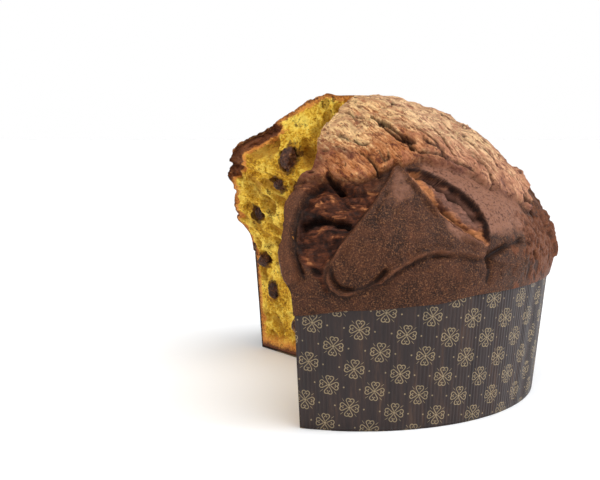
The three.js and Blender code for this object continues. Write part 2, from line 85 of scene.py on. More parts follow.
# The lip of crust over the paper, as degrees round the loaf and height of its lower edge.
LIP_LINE: Line = (
    (-140, 59), (-110, 60), (-92, 64), (-72, 65.8), (-57, 68.8),
    (0, 68.5), (40, 65), (80, 67.5), (120, 64), (160, 66),
)
LIP_EDGE = 1.2

# The torn wedge: two cuts, and the degrees that the crust tears away from them at each height.
NEAR_CUT = -107.0
FAR_CUT = 131.0
WEDGE_POINT_OFFSET = 4.0
WEDGE_MIDDLE = (NEAR_CUT + FAR_CUT) / 2 + 180
NEAR_TEAR: Line = (
    (0, 0), (70, 0), (84, -3), (110, -4), (122, -2), (131, 1), (150, 1), (160, 4), (168, 8),
)
FAR_TEAR: Line = ((0, 0), (70, 0), (100, 10), (132, 27), (147, 18), (158, 15), (168, 18))

# Outlines on the crust, as degrees round the loaf and height.
EAR: Line = (
    (-76, 134), (-82, 124), (-88, 112), (-94, 99), (-98, 88), (-99, 79), (-96, 72), (-91, 74),
    (-85, 79), (-79, 87), (-72, 91), (-64, 90), (-57, 88), (-55, 92), (-61, 99), (-67, 110), (-72, 124),
)
BURST: Line = (
    (-102, 127), (-106, 122), (-108, 112), (-108, 101), (-107, 91), (-104, 83), (-101, 78), (-99, 72),
    (-100, 79), (-99, 88), (-95, 99), (-89, 112), (-84, 122), (-90, 124), (-96, 127),
)
LENS: Line = (
    (-73, 133), (-66, 132), (-60, 127), (-55, 120), (-52, 111), (-52, 101), (-54, 92), (-60, 99),
    (-66, 110), (-71, 124),
)
TORN_STRIP: Line = (
    (-101, 130), (-107, 127), (-112, 119), (-113, 101), (-112, 88), (-110, 77), (-106.5, 79), (-108.6, 91),
    (-109.5, 101), (-109, 112), (-107.3, 121), (-102.5, 128),
)
SIDE_FOLD: Line = ((-55, 87), (-50, 91), (-45, 94), (-40, 93), (-39, 84), (-41, 79), (-48, 81))
EAR_TURNS = (0.0, 96.0, 190.0)
CROWN_EDGE: Line = (
    (-125, 126), (-107, 127), (-99, 129), (-88, 128), (-82, 132), (-75, 135), (-66, 136), (-56, 133),
    (-48, 129), (-41, 122), (-33, 114), (-26, 107), (-18, 114), (-6, 129), (8, 135), (26, 132),
    (42, 119), (54, 109), (64, 118), (78, 131), (92, 135), (110, 131), (124, 118), (136, 110), (152, 116),
)
FLOW = (0.65, -0.45, -0.6)
CRACKS: tuple[Line, ...] = (
    ((-47, 151), (-49, 144), (-49, 139)),
    ((-66, 140), (-60.5, 138.5), (-55, 137), (-49, 134.5), (-45, 130.5)),
    ((-28, 154), (-31, 147), (-34, 138), (-35, 129)),
    ((-97, 158), (-90, 156.5), (-84, 156)),
    ((-38, 138), (-38.5, 131), (-40, 125), (-41, 121)),
    ((-86, 139), (-84, 135), (-83, 131)),
    ((84, 155), (78, 147), (80, 140)),
    ((-7, 154), (-16, 148), (-18, 139), (-17, 128), (-18, 119)),
    ((-4, 156), (2, 148), (6, 142)),
    ((-38.5, 84), (-37.4, 79), (-38.2, 73.5)),
    ((-34.5, 86), (-33.2, 80.5), (-33.8, 77)),
)
GASHES: tuple[Line, ...] = (
    ((-80, 157), (-76.5, 152.5), (-73, 148.5), (-70, 145.5), (-67.5, 141.5)),
    ((-75.5, 154.5), (-71.5, 151.2), (-68.3, 148), (-66, 144)),
    ((-26.5, 112), (-24.6, 108.5), (-23, 105)),
)
EAR_CRACKS: tuple[Line, ...] = (
    ((-102.3, 127), (-106.6, 120.5), (-108.4, 112), (-108.8, 101), (-107.8, 91), (-105.4, 80)),
    ((-72, 131), (-66, 129.5), (-61, 124), (-56, 116), (-53.5, 108)),
    ((-69, 122), (-64, 115), (-60, 106), (-56, 97)),
    ((-55, 88), (-48, 92), (-41, 93.5)),
    ((-55.5, 90), (-55, 82), (-55.5, 75)),
    ((-98.2, 85), (-97.7, 80.5), (-96.2, 76.6), (-93, 74.6), (-89.5, 76), (-86.5, 79.5), (-84.5, 84)),
    ((-69.5, 119), (-66, 113), (-62.5, 105)),
)
EAR_GASHES: tuple[Line, ...] = (
    ((-106.5, 106), (-103.5, 109), (-100, 109.5), (-97, 108), (-94, 106.5)),
    ((-100.5, 130), (-97.6, 127.4), (-95.5, 124.5)),
)
OPEN_MARKS = ("crack", "gash")

# How far slow and fine noise move the edge of each kind of mark.
EDGE_NOISE = {
    "ear": (0.5, 0.7), "burst": (1.0, 0.0), "lens": (1.0, 0.0), "fold": (1.0, 0.0), "strip": (0.4, 0.0),
    "crack": (0.4, 0.0), "gash": (0.6, 1.1),
}

# Stretches of the crust, in degrees round it or in heights: where each comes, and where some go again.
SIDE_LIGHT_ROUND = (-70, -62, -36, -26)
SIDE_LIGHT_UP = (90, 106)
EAR_LIGHT_UP = (102, 128)
# Where the crown's top far left gets a painted highlight.
LEFT_HIGHLIGHT_ROUND = (-104, -74)
LEFT_HIGHLIGHT_UP = (136, 150)
# Where the crown turns paler and pinker, on its right.
PALE_PINK_ROUND = (-76, -42, 10, 60)
POROUS_START = (-43, -34)
POROUS_END = (4, 16)
POROUS_UP = (96, 114)
LIT_UP = (111, 119)
PALE_ROUND = (-92, -82, -30, 0)
# Where the painted shadow along the crown's edge over the right flap lies.
SHADED_ROUND = (-72, -67, -48, -43)
BROWNED_UP = (124, 129, 144, 154)
TURNED_UP = (112, 122, 146, 152)

# The crumb: depths that count as a whole hole, and how far in from the skin or base the crumb is browned.
LARGE_HOLE = 6.0
SMALL_HOLE = 3.2
RIND_REACH = 16.0


def smooth(x: Values, start: float, end: float) -> Array:
    """Eases from 0 at start to 1 at end."""
    share = np.clip((np.asarray(x, float) - start) / (end - start), 0, 1)
    return share * share * (3 - 2 * share)


def between(x: Values, start: float, whole: float, drop: float, end: float) -> Array:
    """Eases from 0 at start to 1 at whole, and back from 1 at drop to 0 at end."""
    return smooth(x, start, whole) * (1 - smooth(x, drop, end))


def shares(count: int) -> Array:
    """Gives the even shares from 0 to 1 that end a number of steps."""
    return np.arange(count + 1) / count


def bump(x: Values, middle: float, width: float) -> Array:
    """Gives a round bump of height 1, which has fallen to a third at its width."""
    return np.exp(-(((np.asarray(x, float) - middle) / width) ** 2))


def blend(a: Values, b: Values, share: Values) -> Array:
    """Goes from a at share 0 to b at share 1."""
    return a + (b - a) * share


def along(line: Line, place: Values) -> Array:
    """Reads a smooth line through pairs of place and value.

    Args:
        line: The pairs, in order of place.
        place: Where to read it.

    Returns:
        The line's values.
    """
    places, values = np.array(line, float).T
    at = np.clip(np.asarray(place, float), places[0], places[-1])
    next_one = np.clip(np.searchsorted(places, at, side="right"), 1, len(places) - 1)
    share = (at - places[next_one - 1]) / (places[next_one] - places[next_one - 1])
    return blend(values[next_one - 1], values[next_one], share * share * (3 - 2 * share))


def direction(degrees: Values) -> Array:
    """Gives the flat unit vector at some degrees from +X, with X and Y in the last axis."""
    turn = np.radians(degrees)
    return np.stack([np.cos(turn), np.sin(turn)], axis=-1)


WEDGE_POINT = direction(WEDGE_MIDDLE) * WEDGE_POINT_OFFSET


def arc_length(degrees: Values) -> Array:
    """Gives the millimetres round the flattened crust that some degrees make."""
    return np.radians(degrees) * RELIEF_RADIUS


def case_radius(z: Values) -> Array:
    """Gives the paper case's outer radius at a height."""
    return blend(CASE_BASE_RADIUS, CASE_TOP_RADIUS, np.asarray(z, float) / CASE_HEIGHT)


def add_object(name: str, data: bpy.types.ID) -> Object:
    """Makes an object of a mesh, light or camera and puts it in the scene."""
    thing = bpy.data.objects.new(name, data)
    bpy.context.collection.objects.link(thing)
    return thing


def read_vertices(mesh: bpy.types.Mesh, what: str) -> Array:
    """Reads the places (co) or the normals of a mesh's corners, one row each."""
    return np.array([getattr(corner, what) for corner in mesh.vertices], float)


class Noise:
    """Seeded gradient noise over points in space."""

    CELLS = 256
    REACH = 1.6

    def __init__(self, seed: int) -> None:
        """Draws the noise's lattice.

        Args:
            seed: What sets this noise apart from others.
        """
        draw = np.random.default_rng(seed)
        self.order = draw.permutation(self.CELLS)
        slopes = draw.normal(size=(self.CELLS, 3))
        self.slopes = slopes / np.linalg.norm(slopes, axis=1)[:, None]

    def at(self, points: Array) -> Array:
        """Reads the noise.

        Args:
            points: Places, with x, y and z in the last axis.

        Returns:
            Values from about -1 to 1.
        """
        cell = np.floor(points).astype(int)
        share = points - cell
        fade = share**3 * (share * (share * 6 - 15) + 10)
        total = np.zeros(points.shape[:-1])
        for corner in itertools.product((0, 1), repeat=3):
            key = np.zeros(points.shape[:-1], int)
            weight = np.ones(points.shape[:-1])
            for axis, step in enumerate(corner):
                key = self.order[(key + cell[..., axis] + step) % self.CELLS]
                weight = weight * (fade[..., axis] if step else 1 - fade[..., axis])
            total += weight * np.sum(self.slopes[key] * (share - corner), axis=-1)
        return total * self.REACH

    def layered(self, points: Array, layers: int, gain: float = 0.5) -> Array:
        """Adds finer and fainter layers of the noise.

        Args:
            points: Places, with x, y and z in the last axis.
            layers: How many layers.
            gain: How faint each layer is against the one before.

        Returns:
            Values from about -1 to 1.
        """
        total, weight, whole = 0.0, 1.0, 0.0
        for layer in range(layers):
            total = total + weight * self.at(points * 2**layer + layer * 17.3)
            whole += weight
            weight *= gain
        return total / whole

    def ridged(self, points: Array, layers: int, gain: float = 0.5) -> Array:
        """Gives sharp ridges with soft valleys between them.

        Args:
            points: Places, with x, y and z in the last axis.
            layers: How many layers.
            gain: How faint each layer is against the one before.

        Returns:
            Values from 0 in the valleys to 1 on the ridges.
        """
        total, weight, whole = 0.0, 1.0, 0.0
        for layer in range(layers):
            total = total + weight * (1 - np.abs(self.at(points * 2**layer + layer * 9.7)))
            whole += weight
            weight *= gain
        return np.clip(total / whole, 0, 1) ** 2


class Congruence:
    """A repeatable run of numbers from 0 to 1, the one that the solids are drawn with."""

    FACTOR = 1664525
    STEP = 1013904223
    RANGE = 2**32

    def __init__(self, seed: int) -> None:
        """Starts the run at its seed."""
        self.state = seed % self.RANGE

    def draw(self, least: float = 0.0, most: float = 1.0) -> float:
        """Draws the next number, from least to most."""
        self.state = (self.state * self.FACTOR + self.STEP) % self.RANGE
        return least + (most - least) * self.state / self.RANGE


class Dome:
    """The smooth dome that the crust's relief stands on."""

    def __init__(self) -> None:
        """Measures the slope from the crown down to the shoulder."""
        self.angles = (np.pi / 2) * (1 - shares(SLOPE_STEPS))
        steps = np.diff(self.profile(self.angles), axis=0)
        self.slopes = np.concatenate([[0], np.cumsum(np.hypot(*steps.T))])
        self.slope = float(self.slopes[-1])

    @staticmethod
    def profile(angle: Array) -> Array:
        """Gives radius and height, from the shoulder at angle 0 to the crown at a quarter turn."""
        height = blend(SHOULDER_HEIGHT, LOAF_HEIGHT, np.maximum(np.sin(angle), 0) ** DOME_POWER)
        return np.stack([SHOULDER_RADIUS * np.cos(angle), height], axis=-1)

    def normal(self, angle: Array, step: float = 0.01) -> Array:
        """Gives the radial and upward parts of the profile's outward normal, in the last axis."""
        ahead = self.profile(angle + step) - self.profile(angle - step)
        return np.stack([ahead[..., 1], -ahead[..., 0]], axis=-1) / np.linalg.norm(ahead, axis=-1)[..., None]

    def angle_at_slope(self, slope: Array) -> Array:
        """Gives the profile's angle some way down the slope from the crown."""
        return np.interp(slope, self.slopes, self.angles)

    def slope_at_height(self, z: Values) -> Array:
        """Gives the way down the slope from the crown to a height.

        Args:
            z: The height.

        Returns:
            Millimetres of slope.
        """
        height = np.asarray(z, float)
        rise = np.clip((height - SHOULDER_HEIGHT) / (LOAF_HEIGHT - SHOULDER_HEIGHT), 0, 1)
        angle = np.arcsin(rise ** (1 / DOME_POWER))
        on_dome = np.interp(np.pi / 2 - angle, np.pi / 2 - self.angles, self.slopes)
        return np.where(height <= SHOULDER_HEIGHT, self.slope + SHOULDER_HEIGHT - height, on_dome)

    def on_crust(self, line: Line, turn: float = 0.0) -> Array:
        """Turns degrees and heights, turned on, into millimetres round the dome and down its slope."""
        degrees, heights = np.array(line, float).T
        return np.stack([arc_length(degrees + turn), self.slope_at_height(heights)], axis=-1)


DOME = Dome()


@dataclass
class Mark:
    """An outline or a crack on the flattened crust.

    Attributes:
        points: The corners that it runs through.
        closed: Whether it is an outline with an inside.
        steps: How many pieces each side of an outline is rounded with.
        reach: How far away it is still measured.
    """

    points: Array
    closed: bool = True
    steps: int = 8
    reach: float = 16.0

    def __post_init__(self) -> None:
        """Rounds the outline."""
        self.corners = self.rounded() if self.closed else self.points

    def rounded(self) -> Array:
        """Runs a smooth closed curve through the corners.

        Returns:
            The curve's points.
        """
        out = []
        count = len(self.points)
        share = shares(self.steps)[:-1, None]
        for i in range(count):
            p0, p1, p2, p3 = (self.points[(i + k) % count] for k in (-1, 0, 1, 2))
            d0, d1, d2 = (np.linalg.norm(b - a) ** 0.5 for a, b in ((p0, p1), (p1, p2), (p2, p3)))
            leave = ((p1 - p0) / d0 - (p2 - p0) / (d0 + d1) + (p2 - p1) / d1) * d1
            arrive = ((p2 - p1) / d1 - (p3 - p1) / (d1 + d2) + (p3 - p2) / d2) * d1
            cubic = 2 * p1 - 2 * p2 + leave + arrive
            square = -3 * p1 + 3 * p2 - 2 * leave - arrive
            out.append(p1 + leave * share + square * share**2 + cubic * share**3)
        return np.concatenate(out)

    def distance(self, places: Array) -> Array:
        """Measures how far places are from the mark.

        Args:
            places: Flat places, one row each.

        Returns:
            The distance, above 0 inside an outline and below 0 outside it, or the plain distance from a
            crack. It goes no further than the reach.
        """
        least, most = self.corners.min(0) - self.reach, self.corners.max(0) + self.reach
        close = np.all((places > least) & (places < most), axis=-1)
        out = np.full(len(places), -self.reach if self.closed else self.reach)
        if not close.any():
            return out
        spots = places[close]
        nearest = np.full(len(spots), self.reach)
        within = np.zeros(len(spots), bool)
        ends = np.roll(self.corners, -1, axis=0) if self.closed else self.corners[1:]
        for start, end in zip(self.corners, ends):
            step = end - start
            share = np.clip((spots - start) @ step / (step @ step), 0, 1)
            away = spots - start - share[:, None] * step
            nearest = np.minimum(nearest, np.hypot(away[:, 0], away[:, 1]))
            if self.closed and step[1]:
                crosses = (start[1] > spots[:, 1]) != (end[1] > spots[:, 1])
                left = spots[:, 0] < step[0] * (spots[:, 1] - start[1]) / step[1] + start[0]
                within ^= crosses & left
        out[close] = np.where(within, nearest, -nearest) if self.closed else nearest
        return out


@dataclass(frozen=True)
class Grain:
    """One way to read a noise.

    Attributes:
        size: Length of its waves in millimetres, one for all axes or one for each.
        layers: How many finer layers it has.
        gain: How faint each layer is against the one before.
        shift: What sets it apart from other grains of the same noise.
    """

    size: tuple[float, ...]
    layers: int = 2
    gain: float = 0.5
    shift: float = 0.0

    def clouds(self, noise: Noise, places: Array) -> Array:
        """Reads soft clouds, from about -1 to 1."""
        return noise.layered(places / np.array(self.size) + self.shift, self.layers, self.gain)

    def ridges(self, noise: Noise, places: Array) -> Array:
        """Reads sharp ridges, from 0 in the valleys to 1 on the ridges."""
        return noise.ridged(places / np.array(self.size) + self.shift, self.layers, self.gain)


WOBBLE = Grain((9.0,))
FRAY = Grain((3.6,), shift=5.5)
VARY = Grain((12.0,), shift=1.9)
WARPS = tuple(Grain((24.0,), shift=shift) for shift in (3.1, 5.2, 8.4))
STRANDS = Grain((30.0, 7.0, 7.0), 3, 0.55)
THREADS = Grain((34.0, 10.0, 8.0), 4, 0.55, 2.6)
SPLINTERS = Grain((11.0, 2.8, 2.8), shift=6.6)
PLEATS = Grain((9.0, 3.0, 3.0), shift=1.7)
CREASES = Grain((38.0, 12.0, 12.0), gain=0.35, shift=4.4)
CREASED = Grain((16.0,), shift=6.1)
CALM = Grain((21.0,), shift=11.3)
LUMPS = Grain((15.0,))
DIMPLES = Grain((7.0,), 3, 0.6, 3.3)
WRINKLES = Grain((13.0,), gain=0.3, shift=8.8)
PITS = Grain((3.0, 3.0, 5.0), 3, shift=2.2)
GRIT = Grain((2.6,), 3, 0.6)
PATCHES = Grain((34.0, 9.0, 9.0), 4, 0.65, 7.7)


@dataclass
class CrustPlaces:
    """Places on the crust and how they lie against its marks, one value or row for each.

    Attributes:
        degrees: Degrees round the loaf.
        slope: Millimetres of slope from the crown.
        spots: X, Y and Z on the smooth dome.
        wobble: Slow noise that moves the edges of the marks.
        vary: Slower noise that makes an edge strong and weak by turns.
        depth: Distance inside the nearest outline of each name, or from its nearest crack.
        above: Distance above the crown's torn edge.
    """

    degrees: Array
    slope: Array
    spots: Array
    wobble: Array
    vary: Array
    depth: dict[str, Array]
    above: Array

    def __post_init__(self) -> None:
        """Works out the narrow stretches along the edges of the marks."""
        ear, lens = self.depth["ear"], self.depth["lens"]
        self.height = self.spots[:, 2]
        self.hem = np.clip(0.7 + 2.2 * self.vary, 0.08, 1.8)
        self.undercut = bump(ear, -1.0, 0.9) * np.minimum(self.hem, 1)
        self.band = between(self.above, -9, -6, -1.5, 0) * bump(self.degrees, -96, 13)
        self.in_lens = smooth(lens, -0.3, 1.4)
        # Painted shadow: the band of the lens under the flap's overhanging edge, coloured dark through the
        # crack mask.
        self.painted_flap_shadow = smooth(-ear, 3, 6) * between(lens, -0.6, 0.2, 1.2, 2.6)
        self.ribbon = bump(ear + 1.2 * self.wobble, -6.4, 3.4) * smooth(lens, 0, 1.5)


@dataclass
class CrustRelief:
    """What stands out of the smooth dome: ears, burst seams, cracks, the lifted crown and its flakes.

    Attributes:
        ear_rise: How far the smooth ears stand out.
        ear_bead: Height of the bead along an ear's edge.
        ear_groove: Depth of the groove inside the bead.
        undercut: Depth of the shadow line outside it.
        burst_depth: Depth of the seam that burst beside an ear.
        band_depth: Depth of the torn band over an ear.
        lens_depth: Depth of the lens-shaped seam on its other side.
        fold_rise: Height of the fold beside the lens.
        strip_rise: Height of the torn strip beside the seam.
        crack_depth: Depth of the cracks.
        gash_share: How much deeper the gashes are.
        crown_rise: Height of the crown's step.
        crown_fade: How far down the crust below regains its height.
        sway: How far slow noise moves the edges of the marks and of the crown.
        calm_from: Slope at which the relief starts.
        calm_to: Slope at which it is whole.
        bend: How far the fibres are bent.
        crown_lumps: Height of the crown's lumps.
        crease_depth: Depth of its creases.
        thread_rise: Height of the threads in the seams.
        seam_lumps: Height of the seams' lumps.
        pleat_rise: Height of the fine pleats on an ear.
        grit_rise: Height of the finest grain.
        pit_depth: Depth of the pits in the porous crust.
    """

    ear_rise: float = 2.4
    ear_bead: float = 1.2
    ear_groove: float = 0.8
    undercut: float = 0.9
    burst_depth: float = 3.4
    band_depth: float = 1.2
    lens_depth: float = 4.4
    fold_rise: float = 1.8
    strip_rise: float = 2.2
    crack_depth: float = 3.6
    gash_share: float = 1.6
    crown_rise: float = 4.0
    crown_fade: float = 14.0
    sway: float = 1.6
    calm_from: float = 6.0
    calm_to: float = 24.0
    bend: float = 11.0
    crown_lumps: float = 2.8
    crease_depth: float = 1.3
    thread_rise: float = 3.0
    seam_lumps: float = 2.2
    pleat_rise: float = 0.6
    grit_rise: float = 0.14
    pit_depth: float = 1.6
    marks: dict[str, list[Mark]] = field(default_factory=dict)

    def __post_init__(self) -> None:
        """Lays the outlines and cracks on the crust."""
        outlines = {"ear": EAR, "burst": BURST, "lens": LENS, "fold": SIDE_FOLD, "strip": TORN_STRIP}
        for name, line in outlines.items():
            self.marks[name] = [Mark(DOME.on_crust(line, turn)) for turn in EAR_TURNS]
        once = (0.0,)
        open_lines = (
            ("crack", CRACKS, once), ("crack", EAR_CRACKS, EAR_TURNS),
            ("gash", GASHES, once), ("gash", EAR_GASHES, EAR_TURNS),
        )
        for name, lines, turns in open_lines:
            open_marks = [Mark(DOME.on_crust(*at), closed=False) for at in itertools.product(lines, turns)]
            self.marks.setdefault(name, []).extend(open_marks)
        ahead = np.array(FLOW) / np.linalg.norm(FLOW)
        aside = np.cross(ahead, (0, 0, 1))
        aside /= np.linalg.norm(aside)
        self.flow = np.stack([ahead, aside, np.cross(ahead, aside)])
        self.grain = Noise(3)
        self.lumps = Noise(5)
        self.flakes = Noise(8)

    def depth_in(self, name: str, places: Array) -> Array:
        """Measures how deep places lie inside the nearest mark of a name, or how far from it."""
        depths = [mark.distance(places) for mark in self.marks[name]]
        return np.min(depths, axis=0) if name in OPEN_MARKS else np.max(depths, axis=0)

    def read(self, degrees: Array, slope: Array) -> CrustPlaces:
        """Measures places against every mark, with their edges moved by noise.

        Args:
            degrees: Degrees round the loaf.
            slope: Millimetres of slope from the crown.

        Returns:
            The places.
        """
        flat = np.stack([arc_length(degrees), slope], axis=-1)
        ring = DOME.profile(DOME.angle_at_slope(slope))
        height = ring[:, 1] - np.maximum(slope - DOME.slope, 0)
        spots = np.concatenate([direction(degrees) * ring[:, :1], height[:, None]], axis=1)
        wobble = WOBBLE.clouds(self.lumps, spots) * self.sway
        fray = FRAY.clouds(self.grain, spots)
        depth = {}
        for name, (slow, fine) in EDGE_NOISE.items():
            depth[name] = self.depth_in(name, flat) + slow * wobble + fine * fray
        for name in OPEN_MARKS:
            depth[name] = np.maximum(depth[name], 0)
        above = DOME.slope_at_height(along(CROWN_EDGE, degrees)) - slope + self.sway * wobble
        return CrustPlaces(degrees, slope, spots, wobble, VARY.clouds(self.lumps, spots), depth, above)

    def zones(self, at: CrustPlaces) -> Masks:
        """Works out the masks that follow the marks and the sides of the loaf.

        Args:
            at: The places.

        Returns:
            The masks by name.
        """
        degrees, height, above = at.degrees, at.height, at.above
        ear, lens = at.depth["ear"], at.depth["lens"]
        seam = np.maximum(at.depth["burst"], lens)
        # Painted highlight: the lit top of the ear and the sheen on the right flap, whose skin is also a
        # little lighter.
        side_light = between(degrees, *SIDE_LIGHT_ROUND) * smooth(height, *SIDE_LIGHT_UP)
        ear_light = 0.62 * smooth(height, *EAR_LIGHT_UP) * smooth(ear, 0, 6)
        porous = smooth(degrees + 9 * at.wobble, *POROUS_START) * (1 - smooth(degrees, *POROUS_END))
        strip_light = 0.3 * smooth(at.depth["strip"], -0.2, 0.6)
        cracks, gashes = bump(at.depth["crack"], 0, 1.0), 1 - smooth(at.depth["gash"], 1.6, 3.0)
        return {
            "burst": np.maximum(smooth(seam, -0.4, 1.0), at.band) * (1 - smooth(ear, -0.9, 0.3)),
            # Painted highlight, over partly real lighter skin on the right flap.
            "lighter_skin_and_highlight": side_light + ear_light,
            "crown": smooth(above, -0.8, 1.0),
            "golden": smooth(above, 3, 40),
            # Painted highlight on the crown's top far left.
            "painted_left_highlight": (1 - smooth(degrees, *LEFT_HIGHLIGHT_ROUND)) * smooth(height, *LEFT_HIGHLIGHT_UP),
            "pale_pink": between(degrees, *PALE_PINK_ROUND),
            "bead": np.maximum(0.7 * bump(ear, 0.7, 0.6) * at.hem, strip_light),
            "porous": porous * (1 - smooth(height, *POROUS_UP)),
            "lit": smooth(height, *LIT_UP),
            "lens": at.ribbon * (1 - at.painted_flap_shadow),
            "shelf": at.in_lens * (1 - at.ribbon) ** 2 * (1 - at.painted_flap_shadow),
            # Painted shade: cracks, gashes, the band under the flap and the line under the ear's edge are
            # darkened.
            "crack": np.max((cracks, gashes, 0.9 * at.painted_flap_shadow, 0.75 * at.undercut), axis=0),
        }

    def forms(self, at: CrustPlaces) -> Array:
        """Works out the larger relief: slow waves, ears, seams, folds, cracks and the crown's step.

        Args:
            at: The places.

        Returns:
            Height over the dome.
        """
        ear, lens, crack = (at.depth[name] for name in ("ear", "lens", "crack"))
        round_it = arc_length(at.degrees)
        out = np.sin(round_it / 31) * np.sin(at.slope / 27) + 0.6 * np.sin(round_it / 13 + at.slope / 19)
        out += self.ear_rise * smooth(ear, -0.7, 0.7) + self.ear_bead * bump(ear, 0.9, 0.8) * at.hem
        out -= self.ear_groove * bump(ear, 3.4, 0.9) * smooth(at.vary, -0.25, 0.1)
        out -= self.undercut * at.undercut + self.band_depth * at.band
        out -= self.burst_depth * smooth(at.depth["burst"], -0.6, 2.0)
        out -= self.lens_depth * (0.45 * at.in_lens + 0.6 * smooth(lens, 0, 3.4) * smooth(-ear, 2, 7))
        out += self.fold_rise * smooth(at.depth["fold"], -0.4, 1.2)
        out += self.strip_rise * smooth(at.depth["strip"], -0.4, 0.9)
        cracks = 0.6 * bump(crack, 0, 1.2) + 0.1 * bump(crack, 0, 4)
        out -= self.crack_depth * (cracks + self.gash_share * (1 - smooth(at.depth["gash"], 0.6, 3.0)))
        step = 1 - smooth(at.above, -0.9, 1.5)
        return out - self.crown_rise * step * np.exp(np.minimum(at.above, 0) / self.crown_fade)

    def fibres(self, at: CrustPlaces, masks: Masks) -> Array:
        """Works out the fine relief: flakes, threads, creases, wrinkles, pits and grain.

        Args:
            at: The places.
            masks: The masks so far, which take in those of the fine relief.

        Returns:
            Height over the larger relief.
        """
        crown, burst, spots = masks["crown"], masks["burst"], at.spots
        torn = np.clip(crown + burst, 0, 1)
        bent = spots + self.bend * np.stack([warp.clouds(self.lumps, spots) for warp in WARPS], axis=-1)
        flow = bent @ self.flow.T
        strands, splinters, pleats, creases = (
            grain.ridges(self.flakes, flow) for grain in (STRANDS, SPLINTERS, PLEATS, CREASES)
        )
        stranded = np.clip(crown + masks["lit"] + masks["lens"], 0, 1)
        threads = blend(THREADS.ridges(self.flakes, bent), strands, stranded)
        creases = smooth(creases, 0.8, 0.94) * smooth(CREASED.clouds(self.lumps, spots), -0.2, 0.1)
        calm = smooth(CALM.clouds(self.lumps, spots), -0.25, 0.3)
        lumps, dimples = LUMPS.clouds(self.lumps, spots), DIMPLES.clouds(self.grain, spots)
        wrinkles = smooth(WRINKLES.ridges(self.flakes, bent), 0.84, 0.96) * smooth(dimples, -0.1, 0.2)
        masks["pit"] = masks["porous"] * (1 - torn) * smooth(PITS.ridges(self.grain, spots), 0.62, 0.4)
        masks["crease"] = creases * crown
        masks["strand"] = blend(threads, splinters, 0.4)
        masks["patch"] = self.patches(at, flow)
        flakes = blend(0.5, 1.6, calm) * (strands - 0.5)
        out = crown * (flakes + self.crown_lumps * lumps - self.crease_depth * creases)
        out += burst * (self.thread_rise * (threads - 0.5) + self.seam_lumps * lumps)
        out += (0.9 * crown + burst) * (splinters - 0.5)
        pleated = smooth(at.depth["ear"], -0.6, 0.6) * smooth(at.height, 90, 112)
        out += self.pleat_rise * (pleats - 0.5) * pleated
        out += self.grit_rise * GRIT.clouds(self.grain, spots) * (1 + 1.5 * torn)
        out += (0.6 * lumps + 0.5 * dimples - 0.7 * wrinkles) * (1 - torn)
        return out - self.pit_depth * masks["pit"]

    def patches(self, at: CrustPlaces, flow: Array) -> Array:
        """Works out where the crown is browned in patches, with a painted shadow along its edge over the
        right flap.

        Args:
            at: The places.
            flow: The same places, along and across the fibres.

        Returns:
            The share of brown, the painted shadow included.
        """
        clouds = smooth(PATCHES.clouds(self.lumps, flow), 0.03, 0.17)
        clouds *= 1 - 0.65 * between(at.degrees, *PALE_ROUND)
        # Painted shadow along the crown's lower edge, under its overhang above the right flap.
        shaded = bump(at.above, 2, 2.6) * between(at.degrees, *SHADED_ROUND)
        browned = bump(at.degrees + 5 * at.wobble, -107, 7) * between(at.height, *BROWNED_UP)
        return np.max((clouds, 0.8 * shaded, browned), axis=0)

    def measure(self, degrees: Array, slope: Array) -> tuple[Array, Masks]:
        """Works out the relief and the masks that the crust's finish reads.

        Args:
            degrees: Degrees round the loaf.
            slope: Millimetres of slope from the crown.

        Returns:
            The relief's height over the dome, and the masks by name.
        """
        shape = degrees.shape
        at = self.read(degrees.ravel(), slope.ravel())
        masks = self.zones(at)
        relief = self.forms(at) + self.fibres(at, masks)
        near_crown = 0.1 * smooth(at.slope, 0, self.calm_from)
        relief *= 0.9 * smooth(at.slope, self.calm_from, self.calm_to) + near_crown
        return relief.reshape(shape), {name: mask.reshape(shape) for name, mask in masks.items()}


class Side(Enum):
    """The two torn faces."""

    NEAR = "near"
    FAR = "far"


@dataclass(frozen=True)
class Bubble:
    """An open bubble of the crumb.

    Attributes:
        across: Distance from the wedge's point.
        height: Height of its middle.
        long: Half its length.
        short: Half its width.
        lean: Degrees that its length leans from level.
        depth: How deep it goes.
    """

    across: float
    height: float
    long: float
    short: float
    lean: float
    depth: float

    def dent(self, across: Array, z: Array) -> tuple[Array, Array]:
        """Works out the bubble's hollow.

        Args:
            across: Distances from the wedge's point.
            z: Heights.

        Returns:
            The depth of the hollow, and how far out each place is against the bubble's rim at 1.
        """
        turn = math.radians(self.lean)
        dx, dz = across - self.across, z - self.height
        x = dx * math.cos(turn) + dz * math.sin(turn)
        y = dz * math.cos(turn) - dx * math.sin(turn)
        away = np.hypot(x / self.long, y / self.short)
        return self.depth * np.sqrt(np.clip(1 - away * away, 0, 1)), away


